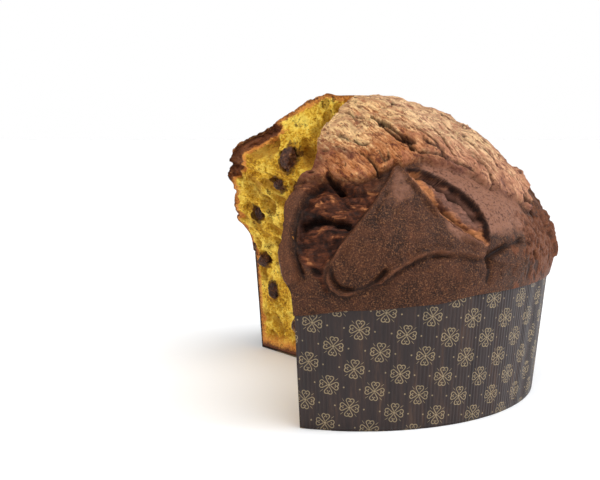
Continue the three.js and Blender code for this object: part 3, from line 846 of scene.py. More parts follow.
@dataclass
class TornFace:
    """One torn face of open crumb.

    Attributes:
        side: Which of the two it is.
        cut: Degrees of its cut.
        tear: How far the crust tears away from the cut.
        turn: Degrees from the cut to the way the face looks.
        seed: Seed of the bubbles that the solids have.
        placed: The large bubbles that the shown part of the face is known by.
        large: How many large bubbles are drawn.
        fine: How many small bubbles are drawn.
        pocket: Size of a chocolate's pocket against the piece in it.
        collar: Height of the crumb's rim round a pocket.
        stain_width: How far a pocket's stain reaches, against its size.
        fibre_rise: Height of the fine fibres.
    """

    side: Side
    cut: float
    tear: Line
    turn: float
    seed: int
    placed: tuple[Bubble, ...] = ()
    large: int = 26
    fine: int = 620
    pocket: float = 0.86
    collar: float = 1.3
    stain_width: float = 0.7
    fibre_rise: float = 1.2
    bubbles: list[Bubble] = field(default_factory=list)
    small: list[Bubble] = field(default_factory=list)
    lumps: list[tuple[Array, Array]] = field(default_factory=list)

    def __post_init__(self) -> None:
        """Draws the bubbles."""
        run = Congruence(self.seed)
        self.bubbles = list(self.placed)
        for i in range(self.large):
            size = blend(9.0, 4.5, math.sqrt(i / self.large))
            across, height = run.draw(14, 94), run.draw(12, 150)
            long, short = size * run.draw(0.9, 1.3), size * run.draw(0.5, 0.8)
            lean, depth = run.draw(20, 120), size * run.draw(0.45, 0.75)
            self.bubbles.append(Bubble(across, height, long, short, lean, depth))
        draw = np.random.default_rng(self.seed)
        for _ in range(self.fine):
            size = 0.9 + 4.6 * draw.random() ** 3
            across, height = draw.uniform(4, 112), draw.uniform(4, 166)
            lean = 90 - 0.5 * across + draw.uniform(-40, 40)
            long, short = size * draw.uniform(1, 1.7), size * draw.uniform(0.55, 0.9)
            self.small.append(Bubble(across, height, long, short, lean, size * draw.uniform(0.5, 0.9)))
        self.noise = Noise(self.seed + 4)

    def turned(self, z: Array) -> Array:
        """Gives where the crust is turned over the tear's edge, by height."""
        return between(z, *TURNED_UP) * (self.side is Side.FAR)

    def outward(self, z: Values) -> Array:
        """Gives the flat direction that the face looks in at a height."""
        return direction(self.cut + self.turn + along(self.tear, z))

    def hold(self, pieces: Iterable[Array]) -> None:
        """Makes room for the pieces of chocolate that sit in this face.

        Args:
            pieces: The corners of each piece, in millimetres.
        """
        for corners in pieces:
            middle = corners.mean(0)
            ahead = direction(self.cut + along(self.tear, middle[2]))
            away = self.outward(middle[2])
            flat = corners[:, :2] - WEDGE_POINT
            local = np.stack([flat @ ahead, corners[:, 2], flat @ away], axis=-1)
            self.lumps.append((local.mean(0), (local.max(0) - local.min(0)) / 2))

    def relief(self, across: Array, z: Array) -> tuple[Array, Array, Masks]:
        """Works out how far the torn crumb stands out of its plane.

        Args:
            across: Distances from the wedge's point.
            z: Heights.

        Returns:
            The relief that the solids share, the finer relief, and the masks by name.
        """
        main = 1.8 * np.sin(across / 17 + z / 29) + 1.4 * np.sin(-across / 31 + z / 15)
        deepest, fine, edges, stain = (np.zeros_like(main) for _ in range(4))
        ragged = self.noise.layered(np.stack([across, z, 0 * z], -1) / 3.4, 3, 0.6)
        for bubble in self.bubbles:
            dent, _ = bubble.dent(across + 0.8 * ragged, z + 0.8 * ragged)
            deepest = np.maximum(deepest, dent)
        flat_across, flat_z = across.ravel(), z.ravel()
        for bubble in self.small:
            reach = bubble.long * 1.5
            close = (np.abs(flat_across - bubble.across) < reach) & (np.abs(flat_z - bubble.height) < reach)
            spots = np.flatnonzero(close)
            dent, away = bubble.dent(flat_across[spots], flat_z[spots])
            fine.flat[spots] = np.maximum(fine.flat[spots], dent)
            edges.flat[spots] = np.maximum(edges.flat[spots], bump(away, 1.05, 0.14) * bubble.short)
        hole = np.clip(deepest / LARGE_HOLE, 0, 1) + np.clip(fine / SMALL_HOLE, 0, 1)
        detail = 0.4 * np.minimum(edges, 1.6) - fine + 1.1 * ragged
        total = main - deepest
        for middle, reach in self.lumps:
            grown = reach * self.pocket
            away = np.hypot((across - middle[0]) / grown[0], (z - middle[1]) / grown[1]) + 0.6 * ragged
            pocket = middle[2] - grown[2] * np.sqrt(np.clip(1 - away * away, 0, 1))
            inside = away < 1
            detail = np.where(inside, np.minimum(detail, pocket - total), detail)
            detail += self.collar * bump(away, 1.2, 0.25)
            stain = np.maximum(stain, bump(np.maximum(away - 1.0, 0), 0, self.stain_width))
        fibres = self.noise.ridged(np.stack([across / 2.4, z / 6.5, 3 + 0 * z], -1), 3, 0.6)
        detail += self.fibre_rise * (fibres - 0.5)
        return total, detail, {"hole": np.clip(hole, 0, 1), "stain": stain}


class Skin:
    """Gathers patches of one closed mesh and welds them where they meet."""

    WELD_DIGITS = 3

    def __init__(self) -> None:
        """Starts empty."""
        self.points: list[Array] = []
        self.count = 0
        self.faces: list[Array] = []
        self.finishes: list[int] = []
        self.masks: dict[str, list[tuple[int, Array]]] = {}

    def add_points(self, points: Array, masks: Masks | None = None) -> Array:
        """Adds points with their masks.

        Args:
            points: Places in millimetres, in the last axis.
            masks: Values for the same points, by name.

        Returns:
            The points' numbers, in the shape of the points.
        """
        numbers = self.count + np.arange(points[..., 0].size).reshape(points.shape[:-1])
        for name, mask in (masks or {}).items():
            self.masks.setdefault(name, []).append((self.count, np.ravel(mask)))
        self.points.append(points.reshape(-1, 3))
        self.count += numbers.size
        return numbers

    def add_grid(self, numbers: Array, finish: int, flip: bool = False) -> None:
        """Adds a patch of four-sided faces, from point numbers by column and row."""
        quads = np.stack([numbers[:-1, :-1], numbers[1:, :-1], numbers[1:, 1:], numbers[:-1, 1:]], -1)
        self.add_faces(quads.reshape(-1, 4), finish, flip)

    def add_faces(self, faces: Array, finish: int, flip: bool = False) -> None:
        """Adds faces that all have the same number of corners, one row for each."""
        self.faces.append(faces[:, ::-1] if flip else faces)
        self.finishes.append(finish)

    def build(self, name: str, materials: Sequence[Material]) -> Object:
        """Welds the patches and makes the object.

        Args:
            name: The piece's name.
            materials: Its finishes, in the order of their numbers.

        Returns:
            The new object, in metres.
        """
        points = np.concatenate(self.points)
        keys = np.round(points, self.WELD_DIGITS) + 0.0
        _, first, numbers = np.unique(keys, axis=0, return_index=True, return_inverse=True)
        used = np.zeros(len(first), bool)
        for patch in self.faces:
            used[numbers.ravel()[patch]] = True
        first = first[used]
        numbers = np.where(used, np.cumsum(used) - 1, len(first))[numbers.ravel()]
        faces: list[list[int]] = []
        finishes: list[int] = []
        for patch, finish in zip(self.faces, self.finishes):
            welded = numbers[patch]
            apart = np.all(welded != np.roll(welded, 1, axis=1), axis=1)
            faces += welded[apart].tolist()
            for face in welded[~apart].tolist():
                corners = [c for i, c in enumerate(face) if c != face[i - 1]]
                if len(corners) > 2:
                    faces.append(corners)
            finishes += [finish] * (len(faces) - len(finishes))
        mesh = bpy.data.meshes.new(name)
        mesh.from_pydata((points[first] * MM).tolist(), [], faces)
        mesh.polygons.foreach_set("material_index", finishes)
        mesh.polygons.foreach_set("use_smooth", [True] * len(faces))
        for mask_name, parts in self.masks.items():
            values = np.zeros(len(first) + 1, np.float32)
            for start, part in parts:
                values[numbers[start : start + len(part)]] = part
            mesh.attributes.new(mask_name, "FLOAT", "POINT").data.foreach_set("value", values[:-1])
        mesh.update()
        for material in materials:
            mesh.materials.append(material)
        return add_object(name, mesh)


@dataclass
class Loaf:
    """The loaf: crust, lip, the core inside the paper, and the two torn faces.

    Attributes:
        columns: Columns of the crust, from the near tear to the far one.
        coarse: How many columns make one of the hidden core.
        core_rows: Rows inside the paper.
        lip_rows: Rows down inside the lip, and up outside it.
        shoulder_rows: Rows from the paper's top to the shoulder.
        dome_rows: Rows from the shoulder to the crown.
        face_columns: Columns of a torn face.
        inner_share: Share of a torn face's width that those columns take above the paper.
        turned_in: How far the crumb sinks below a turned rim.
        turned_bead: Height of the bead along it.
    """

    columns: int = 600
    coarse: int = 10
    core_rows: int = 78
    lip_rows: int = 10
    shoulder_rows: int = 16
    dome_rows: int = 200
    face_columns: int = 118
    inner_share: float = 0.985
    turned_in: float = 4.5
    turned_bead: float = 1.4
    relief: CrustRelief = field(default_factory=CrustRelief)
    faces: dict[Side, TornFace] = field(default_factory=dict)

    CRUST_FINISH = 0
    CRUMB_FINISH = 1

    def __post_init__(self) -> None:
        """Sets out the torn faces and the fine tear."""
        far_bubbles = (
            Bubble(71, 100, 6.8, 6.3, 0, 5.5),
            Bubble(33, 133, 10, 6, 75, 5),
            Bubble(65, 134, 9, 4.5, 15, 5),
            Bubble(26, 144, 6.5, 5, 30, 4),
            Bubble(80, 110, 7, 5, 90, 4),
        )
        self.faces = {
            Side.NEAR: TornFace(Side.NEAR, NEAR_CUT, NEAR_TEAR, -90, 11),
            Side.FAR: TornFace(Side.FAR, FAR_CUT, FAR_TEAR, 90, 23, far_bubbles),
        }
        self.slot_top = CASE_HEIGHT + GAP
        self.level_row = self.core_rows + 1 + 2 * self.lip_rows
        self.crown_row = self.level_row + self.shoulder_rows + self.dome_rows
        self.face_rows = self.core_rows + self.crown_row - self.level_row
        self.tear_noise = Noise(21)

    def middle(self, z: Array) -> Array:
        """Gives the point that the skin's rows turn about at a height."""
        return WEDGE_POINT * smooth(z, CASE_HEIGHT, LOAF_HEIGHT)[..., None]

    def cut_degrees(self, cut: float, radius: Array, z: Array) -> Array:
        """Finds where a straight cut from the wedge's point meets the skin.

        Args:
            cut: Degrees of the cut.
            radius: The skin's radius.
            z: Its height.

        Returns:
            Degrees, seen from the middle of each row.
        """
        start = WEDGE_POINT - self.middle(z)
        ahead = direction(cut)
        back = start @ ahead
        reach = np.sqrt(np.maximum(radius**2 - np.sum(start**2, -1) + back**2, 0)) - back
        end = start + ahead * reach[..., None]
        return np.degrees(np.arctan2(end[..., 1], end[..., 0]))

    def torn_edge(self, cut: float, tear: Line, radius: Array, z: Array) -> Array:
        """Gives the degrees of a torn edge of the crust.

        Args:
            cut: Degrees of the cut.
            tear: How far the crust tears away from it.
            radius: The skin's radius in each row.
            z: Its height in each row.

        Returns:
            Degrees for each row.
        """
        start = smooth(z, SHOULDER_HEIGHT, SHOULDER_HEIGHT + 10)
        wave = 0.8 * np.sin(z / 5 + cut)
        places = np.stack([radius, z, 0 * z + cut], -1)
        ragged = 0.5 * self.tear_noise.layered(places / 3.1, 3, 0.6) * smooth(radius, 10, 40)
        torn = self.cut_degrees(cut, radius, z) + along(tear, z) + (wave + ragged) * start
        return np.where(radius < WEDGE_POINT_OFFSET, cut + along(tear, z), torn)

    def lip_skin(self, z: Array, degrees: Array) -> tuple[Array, Array, Masks]:
        """Works out the outer skin between the lip's edge and the shoulder.

        Args:
            z: Heights.
            degrees: Degrees round the loaf.

        Returns:
            Radius, height and the crust's masks.
        """
        edge = along(LIP_LINE, degrees)
        share = np.clip((z - edge) / (SHOULDER_HEIGHT - edge), 0, 1)
        start = case_radius(edge) + GAP + LIP_EDGE
        even = blend(start, SHOULDER_RADIUS, np.sin(share * np.pi / 2))
        relief, masks = self.relief.measure(degrees, DOME.slope_at_height(z))
        out = even + relief * smooth(share, 0.1, 0.6)
        return np.maximum(out, case_radius(z) + GAP + LIP_EDGE), z, masks

    def skin_rows(self, degrees: Array) -> tuple[Array, Array, Masks]:
        """Works out the skin for whole rows above the core.

        Args:
            degrees: Degrees by column and row, from the slot's top row to the crown.

        Returns:
            Radius, height and masks, by column and row.
        """
        edge = along(LIP_LINE, degrees)
        share = shares(self.lip_rows)
        slot_z = blend(self.slot_top, edge[:, : len(share)], share)
        slot_radius = case_radius(slot_z) + GAP
        lip_z = blend(edge[:, len(share) : 2 * len(share)], self.slot_top, share)
        shoulder_z = blend(self.slot_top, SHOULDER_HEIGHT, shares(self.shoulder_rows)[1:-1])
        shoulder_z = np.broadcast_to(shoulder_z, (len(degrees), len(shoulder_z)))
        low_z = np.concatenate([lip_z, shoulder_z], axis=1)
        rest = degrees[:, len(share) :]
        low_radius, low_z, low_masks = self.lip_skin(low_z, rest[:, : low_z.shape[1]])
        dome = rest[:, low_z.shape[1] :]
        slope = np.broadcast_to(DOME.slope * (1 - shares(dome.shape[1] - 1)), dome.shape)
        angle = DOME.angle_at_slope(slope)
        relief, dome_masks = self.relief.measure(dome, slope)
        out = DOME.profile(angle) + DOME.normal(angle) * relief[..., None]
        radius = np.concatenate([slot_radius, low_radius, np.maximum(out[..., 0], 0)], axis=1)
        height = np.concatenate([slot_z, low_z, out[..., 1]], axis=1)
        blank = np.zeros_like(slot_z)
        parts = {name: (blank, low_masks[name], mask) for name, mask in dome_masks.items()}
        return radius, height, {name: np.concatenate(part, axis=1) for name, part in parts.items()}

    def skin_grid(self) -> tuple[Array, Masks]:
        """Works out the skin above the core, from the slot's top row to the crown.

        Returns:
            Points by column and row, and the crust's masks.
        """
        rows = 2 * self.lip_rows + 2 + self.shoulder_rows + self.dome_rows
        even_radius, even_height, _ = self.skin_rows(np.zeros((1, rows)))
        starts = self.torn_edge(NEAR_CUT, NEAR_TEAR, even_radius[0], even_height[0])
        ends = self.torn_edge(FAR_CUT, FAR_TEAR, even_radius[0], even_height[0])
        degrees = blend(starts, ends, shares(self.columns)[:, None])
        radius, z, masks = self.skin_rows(degrees)
        flat = self.middle(z) + direction(degrees) * radius[..., None]
        return np.concatenate([flat, z[..., None]], axis=-1), masks

    def core_grid(self) -> Array:
        """Works out the hidden skin inside the paper, bottom row first.

        Returns:
            Points by column and row, in the crust's columns.
        """
        z = blend(PAPER + GAP, self.slot_top, shares(self.core_rows))
        radius = case_radius(z) - PAPER - GAP
        starts, ends = (self.cut_degrees(cut, radius, z) for cut in (NEAR_CUT, FAR_CUT))
        degrees = blend(starts, ends, shares(self.columns)[:, None])
        flat = direction(degrees) * radius[None, :, None]
        return np.concatenate([flat, np.broadcast_to(z[:, None], (*degrees.shape, 1))], axis=-1)

    def face_grid(self, face: TornFace, edge: Array) -> tuple[Array, Masks]:
        """Works out a torn face up to the skin's edge.

        Args:
            face: The torn face.
            edge: The skin's edge, bottom row first.

        Returns:
            Points by column and row, and the crumb's masks.
        """
        rows = np.arange(self.face_rows + 1)
        rise = (rows - self.core_rows) / (self.face_rows - self.core_rows)
        spine = np.where(rise <= 0, edge[:, 2], blend(self.slot_top, LOAF_HEIGHT, rise))
        share = shares(self.face_columns)[:, None]
        share = np.where(rows <= self.core_rows, share, share * self.inner_share)
        beside = np.where(rows <= self.core_rows, 1, self.inner_share)
        share = np.concatenate([share, blend(beside, 1, 0.5)[None], np.ones((1, len(rows)))])
        start = np.concatenate([np.tile(WEDGE_POINT, (len(rows), 1)), spine[:, None]], axis=1)
        points = blend(start[None], edge[None], share[..., None])
        across = np.hypot(points[..., 0] - WEDGE_POINT[0], points[..., 1] - WEDGE_POINT[1])
        away = np.hypot(points[..., 0] - edge[None, :, 0], points[..., 1] - edge[None, :, 1])
        z = points[..., 2]
        main, detail, masks = face.relief(across, z)
        base = smooth(z - PAPER - GAP, 0, 6)
        point = smooth(across, 0, 12)
        rim = self.rim_depth(edge, across, z)
        out = point * base * (main * smooth(away, 1, 9) + detail * smooth(rim, 0.6, 4.0))
        turned = face.turned(z)
        out -= turned * (self.turned_in * (1 - smooth(rim, 1, 9)) + self.turned_bead * bump(rim, 5.5, 0.9))
        points[..., :2] += face.outward(z) * out[..., None]
        points[-1] = edge
        points[self.face_columns :, : self.core_rows + 1] = edge[: self.core_rows + 1]
        masks["rim"] = np.clip(rim / RIND_REACH, 0, 1)
        masks["turned"] = turned
        masks["base"] = np.clip((z - PAPER - GAP) / RIND_REACH, 0, 1)
        return points, masks

    @staticmethod
    def rim_depth(edge: Array, across: Array, z: Array) -> Array:
        """Measures how far places on a torn face lie from its skin.

        Args:
            edge: The skin's edge, bottom row first.
            across: Distances from the wedge's point.
            z: Heights.

        Returns:
            The distance, in the shape of the places.
        """
        line = np.stack([np.hypot(*(edge[:, :2] - WEDGE_POINT).T), edge[:, 2]], axis=-1)[::3]
        out = np.full(across.shape, 1e3)
        for x, y in line:
            out = np.minimum(out, (across - x) ** 2 + (z - y) ** 2)
        return np.sqrt(out)

    def build(self, crust: Material, crumb: Material) -> Object:
        """Makes the loaf's mesh.

        Args:
            crust: The crust's finish.
            crumb: The crumb's finish.

        Returns:
            The loaf.
        """
        skin = Skin()
        outer, masks = self.skin_grid()
        core = self.core_grid()
        outer_numbers = skin.add_points(outer, masks)
        skin.add_grid(outer_numbers, self.CRUST_FINISH)
        core_numbers = skin.add_points(core)
        skin.add_grid(core_numbers[:: self.coarse, :-1], self.CRUST_FINISH)
        self.close_core(skin, core_numbers, outer_numbers)
        rims = []
        for face, column in ((self.faces[Side.NEAR], 0), (self.faces[Side.FAR], -1)):
            flip = face.side is Side.FAR
            above = outer[column, 2 * self.lip_rows + 2 :]
            edge = np.concatenate([core[column], above])
            points, crumb_masks = self.face_grid(face, edge)
            numbers = skin.add_points(points, crumb_masks)
            skin.add_grid(numbers[: self.face_columns + 1, : self.core_rows + 1], self.CRUMB_FINISH, flip)
            skin.add_grid(numbers[:, self.core_rows + 1 :], self.CRUMB_FINISH, flip)
            self.close_face(skin, numbers, outer_numbers[column], flip)
            rims.append(numbers[: self.face_columns + 1, 0])
        self.close_base(skin, rims, core_numbers)
        return skin.build("loaf_skin", [crust, crumb])

    def close_core(self, skin: Skin, core: Array, outer: Array) -> None:
        """Joins the coarse core to the fine slot above it.

        Args:
            skin: The mesh so far.
            core: Point numbers of the core.
            outer: Point numbers of the skin above it.
        """
        starts = np.arange(0, self.columns, self.coarse)
        top = core[starts[:, None] + np.arange(self.coarse + 1)[::-1], -1]
        ring = np.concatenate([core[starts, -2][:, None], core[starts + self.coarse, -2][:, None], top], 1)
        skin.add_faces(ring, self.CRUST_FINISH)
        skin.add_grid(np.stack([core[:, -1], outer[:, 0]], axis=-1), self.CRUST_FINISH)

    def close_face(self, skin: Skin, numbers: Array, line: Array, flip: bool) -> None:
        """Fills a torn face between its columns, the slot and the lip.

        Args:
            skin: The mesh so far.
            numbers: Point numbers of the torn face.
            line: Point numbers of the skin's edge, from the slot's top row to the crown.
            flip: Whether the faces look the other way.
        """
        level = line[2 * self.lip_rows + 1]
        last, row = self.face_columns, self.core_rows
        below = np.concatenate([numbers[: last + 1, row], [line[0], level]])
        above = numbers[:, row + 1]
        skin.add_grid(np.stack([below, above], axis=-1), self.CRUMB_FINISH, flip)
        inner = line[: self.lip_rows + 1]
        outer = line[2 * self.lip_rows + 1 : self.lip_rows : -1]
        skin.add_grid(np.stack([inner, outer], axis=0), self.CRUMB_FINISH, not flip)

    def close_base(self, skin: Skin, rims: list[Array], core: Array) -> None:
        """Closes the loaf's flat underside with a fan.

        Args:
            skin: The mesh so far.
            rims: Point numbers of the torn faces' lowest rows, from the wedge's point outwards.
            core: Point numbers of the core.
        """
        ring = np.concatenate([rims[0], core[self.coarse : -1 : self.coarse, 0], rims[1][1:][::-1]])
        middle = skin.add_points(np.array([[0, 0, PAPER + GAP]]))[0]
        fan = np.stack([np.full(len(ring), middle), np.roll(ring, -1), ring], axis=-1)
        skin.add_faces(fan, self.CRUST_FINISH)


@dataclass
class PaperCase:
    """The fluted paper case, cut along the torn wedge.

    Attributes:
        flutes: Pleats round the shown part of the case.
        flute_steps: Columns for each pleat.
        rows: Rows up the wall.
        rings: Rings of the base.
        flute_depth: Depth of a pleat.
        foot: Height at the foot over which the pleats begin.
        sag: How far the wall leans in and out, slowly.
        thickness: Thickness of the paper as it is seen.
        print_radius: Radius at which the print has its true size.
    """

    flutes: int = 210
    flute_steps: int = 8
    rows: int = 22
    rings: int = 6
    flute_depth: float = 0.3
    foot: float = 3.0
    sag: float = 0.35
    thickness: float = 0.42
    print_radius: float = 104.0
    noise: Noise = field(default_factory=lambda: Noise(31))

    def rim_point(self, degrees: Array, radius: Array) -> Array:
        """Finds where a ray from the wedge's point meets a circle about the case's middle.

        Args:
            degrees: The ray's turn.
            radius: The circle's radius.

        Returns:
            X and Y, in the last axis.
        """
        ahead = direction(degrees)
        back = ahead @ WEDGE_POINT
        reach = np.sqrt(radius**2 - WEDGE_POINT @ WEDGE_POINT + back**2) - back
        return WEDGE_POINT + ahead * reach[..., None]

    def fluted_radius(self, degrees: Array, share: Array, z: Array) -> Array:
        """Gives the wall's outer radius.

        Args:
            degrees: The turn of each column.
            share: The columns' share of the way round.
            z: The height of each row.

        Returns:
            The radius by column and row.
        """
        ring = direction(degrees[:, 0])
        places = np.stack([ring[:, 0] * 30, ring[:, 1] * 30, 0 * share], axis=-1)
        uneven = np.clip(0.8 + 1.8 * self.noise.layered(places / 2, 3), 0.1, 2)
        wave = (0.5 - 0.5 * np.cos(share * self.flutes * 2 * np.pi)) * uneven
        dent = self.flute_depth * wave[:, None] * blend(0.35, 1.0, smooth(z, 0, self.foot))
        places = np.stack(np.broadcast_arrays(ring[:, :1] * 4, ring[:, 1:] * 4, z / 40), axis=-1)
        dent = dent + np.maximum(self.sag * self.noise.layered(places, 2), 0)
        return case_radius(z) - np.clip(dent, 0, PAPER - self.thickness)

    def build(self, material: Material) -> Object:
        """Makes the case's mesh.

        Args:
            material: The paper's finish.

        Returns:
            The case.
        """
        share = shares(self.flutes * self.flute_steps)
        degrees = blend(NEAR_CUT, FAR_CUT, share)[:, None]
        z = blend(0, CASE_HEIGHT, shares(self.rows))[None]
        radius = self.fluted_radius(degrees, share, z)
        outer = self.wall(degrees, radius, z)
        inner = self.wall(degrees, radius - self.thickness, np.maximum(z, self.thickness))
        azimuth = np.arctan2(outer[..., 1], outer[..., 0])
        arc = (azimuth + np.pi / 2) * self.print_radius
        masks = {"print_round": arc, "print_up": np.broadcast_to(z, arc.shape)}
        skin = Skin()
        outside, inside = skin.add_points(outer, masks), skin.add_points(inner, masks)
        skin.add_grid(outside, 0)
        skin.add_grid(inside, 0, flip=True)
        skin.add_grid(np.stack([outside[:, -1], inside[:, -1]], -1), 0)
        bases = []
        for face, numbers, height in ((outer, outside, 0.0), (inner, inside, self.thickness)):
            base = blend(face[:, :1], np.array([*WEDGE_POINT, height]), shares(self.rings)[1:, None])
            plain = {name: np.zeros(base.shape[:2]) for name in masks}
            bases.append(np.concatenate([numbers[:, :1], skin.add_points(base, plain)], axis=1))
        under, over = bases
        skin.add_grid(under, 0, flip=True)
        skin.add_grid(over, 0)
        for column, flip in ((0, False), (-1, True)):
            path_out = np.concatenate([outside[column][::-1], under[column][1:]])
            path_in = np.concatenate([inside[column][::-1], over[column][1:]])
            skin.add_grid(np.stack([path_out, path_in], axis=0), 0, flip)
        return skin.build("paper_wall", [material])

    def wall(self, degrees: Array, radius: Array, z: Array) -> Array:
        """Lays out one face of the wall, by column and row."""
        flat = self.rim_point(np.broadcast_to(degrees, radius.shape), radius)
        return np.concatenate([flat, np.broadcast_to(z, radius.shape)[..., None]], axis=-1)


@dataclass
class Chocolate:
    """A broken piece of chocolate that stands for one of the plain lumps.

    Attributes:
        node: The lump that it stands for.
        cuts: How finely each side of the lump is divided.
        roughness: How far its broken sides stand in and out.
        chip: Size of the chips in them.
        flat_share: How far the chips are turned into flat facets.
        facets: How many facets there are to the full height of a chip.
        inset: How far the piece is drawn in against the lump, as a share of its size.
    """

    node: str
    cuts: int = 5
    roughness: float = 1.7
    chip: float = 4.2
    flat_share: float = 0.6
    facets: int = 4
    inset: float = 0.035

    def corners(self) -> Array:
        """Reads the lump's corners in millimetres."""
        return read_vertices(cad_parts[self.node].data, "co") / MM

    def build(self, material: Material, seed: int) -> Object:
        """Makes the piece.

        Args:
            material: The chocolate's finish.
            seed: What sets this piece apart from others.

        Returns:
            The piece.
        """
        shape = bmesh.new()
        shape.from_mesh(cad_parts[self.node].data)
        bmesh.ops.remove_doubles(shape, verts=shape.verts, dist=1e-6)
        bmesh.ops.subdivide_edges(shape, edges=shape.edges, cuts=self.cuts, use_grid_fill=True)
        mesh = bpy.data.meshes.new(f"{self.node}_piece")
        shape.to_mesh(mesh)
        shape.free()
        points = read_vertices(mesh, "co") / MM
        chips = Noise(seed).layered(points / self.chip, 3, 0.6)
        chips = blend(chips, np.round(chips * self.facets) / self.facets, self.flat_share)
        inward = blend(points, points.mean(0), self.inset)
        moved = inward + read_vertices(mesh, "normal") * (self.roughness * chips)[:, None]
        mesh.vertices.foreach_set("co", (moved * MM).ravel())
        mesh.polygons.foreach_set("use_smooth", [False] * len(mesh.polygons))
        mesh.materials.clear()
        mesh.materials.append(material)
        mesh.update()
        return add_object(mesh.name, mesh)


def srgb(red: float, green: float, blue: float) -> Colour:
    """Turns a colour whose parts go from 0 to 255 into linear light."""
    parts = (red / 255, green / 255, blue / 255)
    red, green, blue = (c / 12.92 if c <= 0.04045 else ((c + 0.055) / 1.055) ** 2.4 for c in parts)
    return red, green, blue


class Wire:
    """A number on its way through a material's nodes, with the signs of plain arithmetic."""

    def __init__(self, tree: bpy.types.NodeTree, socket: Socket) -> None:
        """Holds the socket that the number comes from."""
        self.tree = tree
        self.socket = socket

    def math(self, operation: str, *others: Wire | float, clamp: bool = False) -> Wire:
        """Puts the number through one step of arithmetic.

        Args:
            operation: The step's name.
            others: The other numbers that the step takes.
            clamp: Whether the result is kept from 0 to 1.

        Returns:
            The result.
        """
        node = self.tree.nodes.new("ShaderNodeMath")
        node.operation = operation
        node.use_clamp = clamp
        for slot, value in enumerate((self, *others)):
            if isinstance(value, Wire):
                self.tree.links.new(value.socket, node.inputs[slot])
            else:
                node.inputs[slot].default_value = value
        return Wire(self.tree, node.outputs[0])

    def __add__(self, other: Wire | float) -> Wire:
        """Adds."""
        return self.math("ADD", other)

    def __sub__(self, other: Wire | float) -> Wire:
        """Takes away."""
        return self.math("SUBTRACT", other)

    def __mul__(self, other: Wire | float) -> Wire:
        """Multiplies."""
        return self.math("MULTIPLY", other)

    def __truediv__(self, other: Wire | float) -> Wire:
        """Divides."""
        return self.math("DIVIDE", other)

    def below(self, edge: Wire | float, soft: float = 0.1) -> Wire:
        """Gives 1 below an edge and 0 above it, with a soft step."""
        return ((self - edge) * (-1 / soft)).math("ADD", 0.5, clamp=True)

    def above(self, edge: Wire | float, soft: float = 0.1) -> Wire:
        """Gives 1 above an edge and 0 below it, with a soft step."""
        return ((self - edge) * (1 / soft)).math("ADD", 0.5, clamp=True)


def length(x: Wire, y: Wire) -> Wire:
    """Gives the length of the way to a place from where both numbers are 0."""
    return (x * x + y * y).math("SQRT")


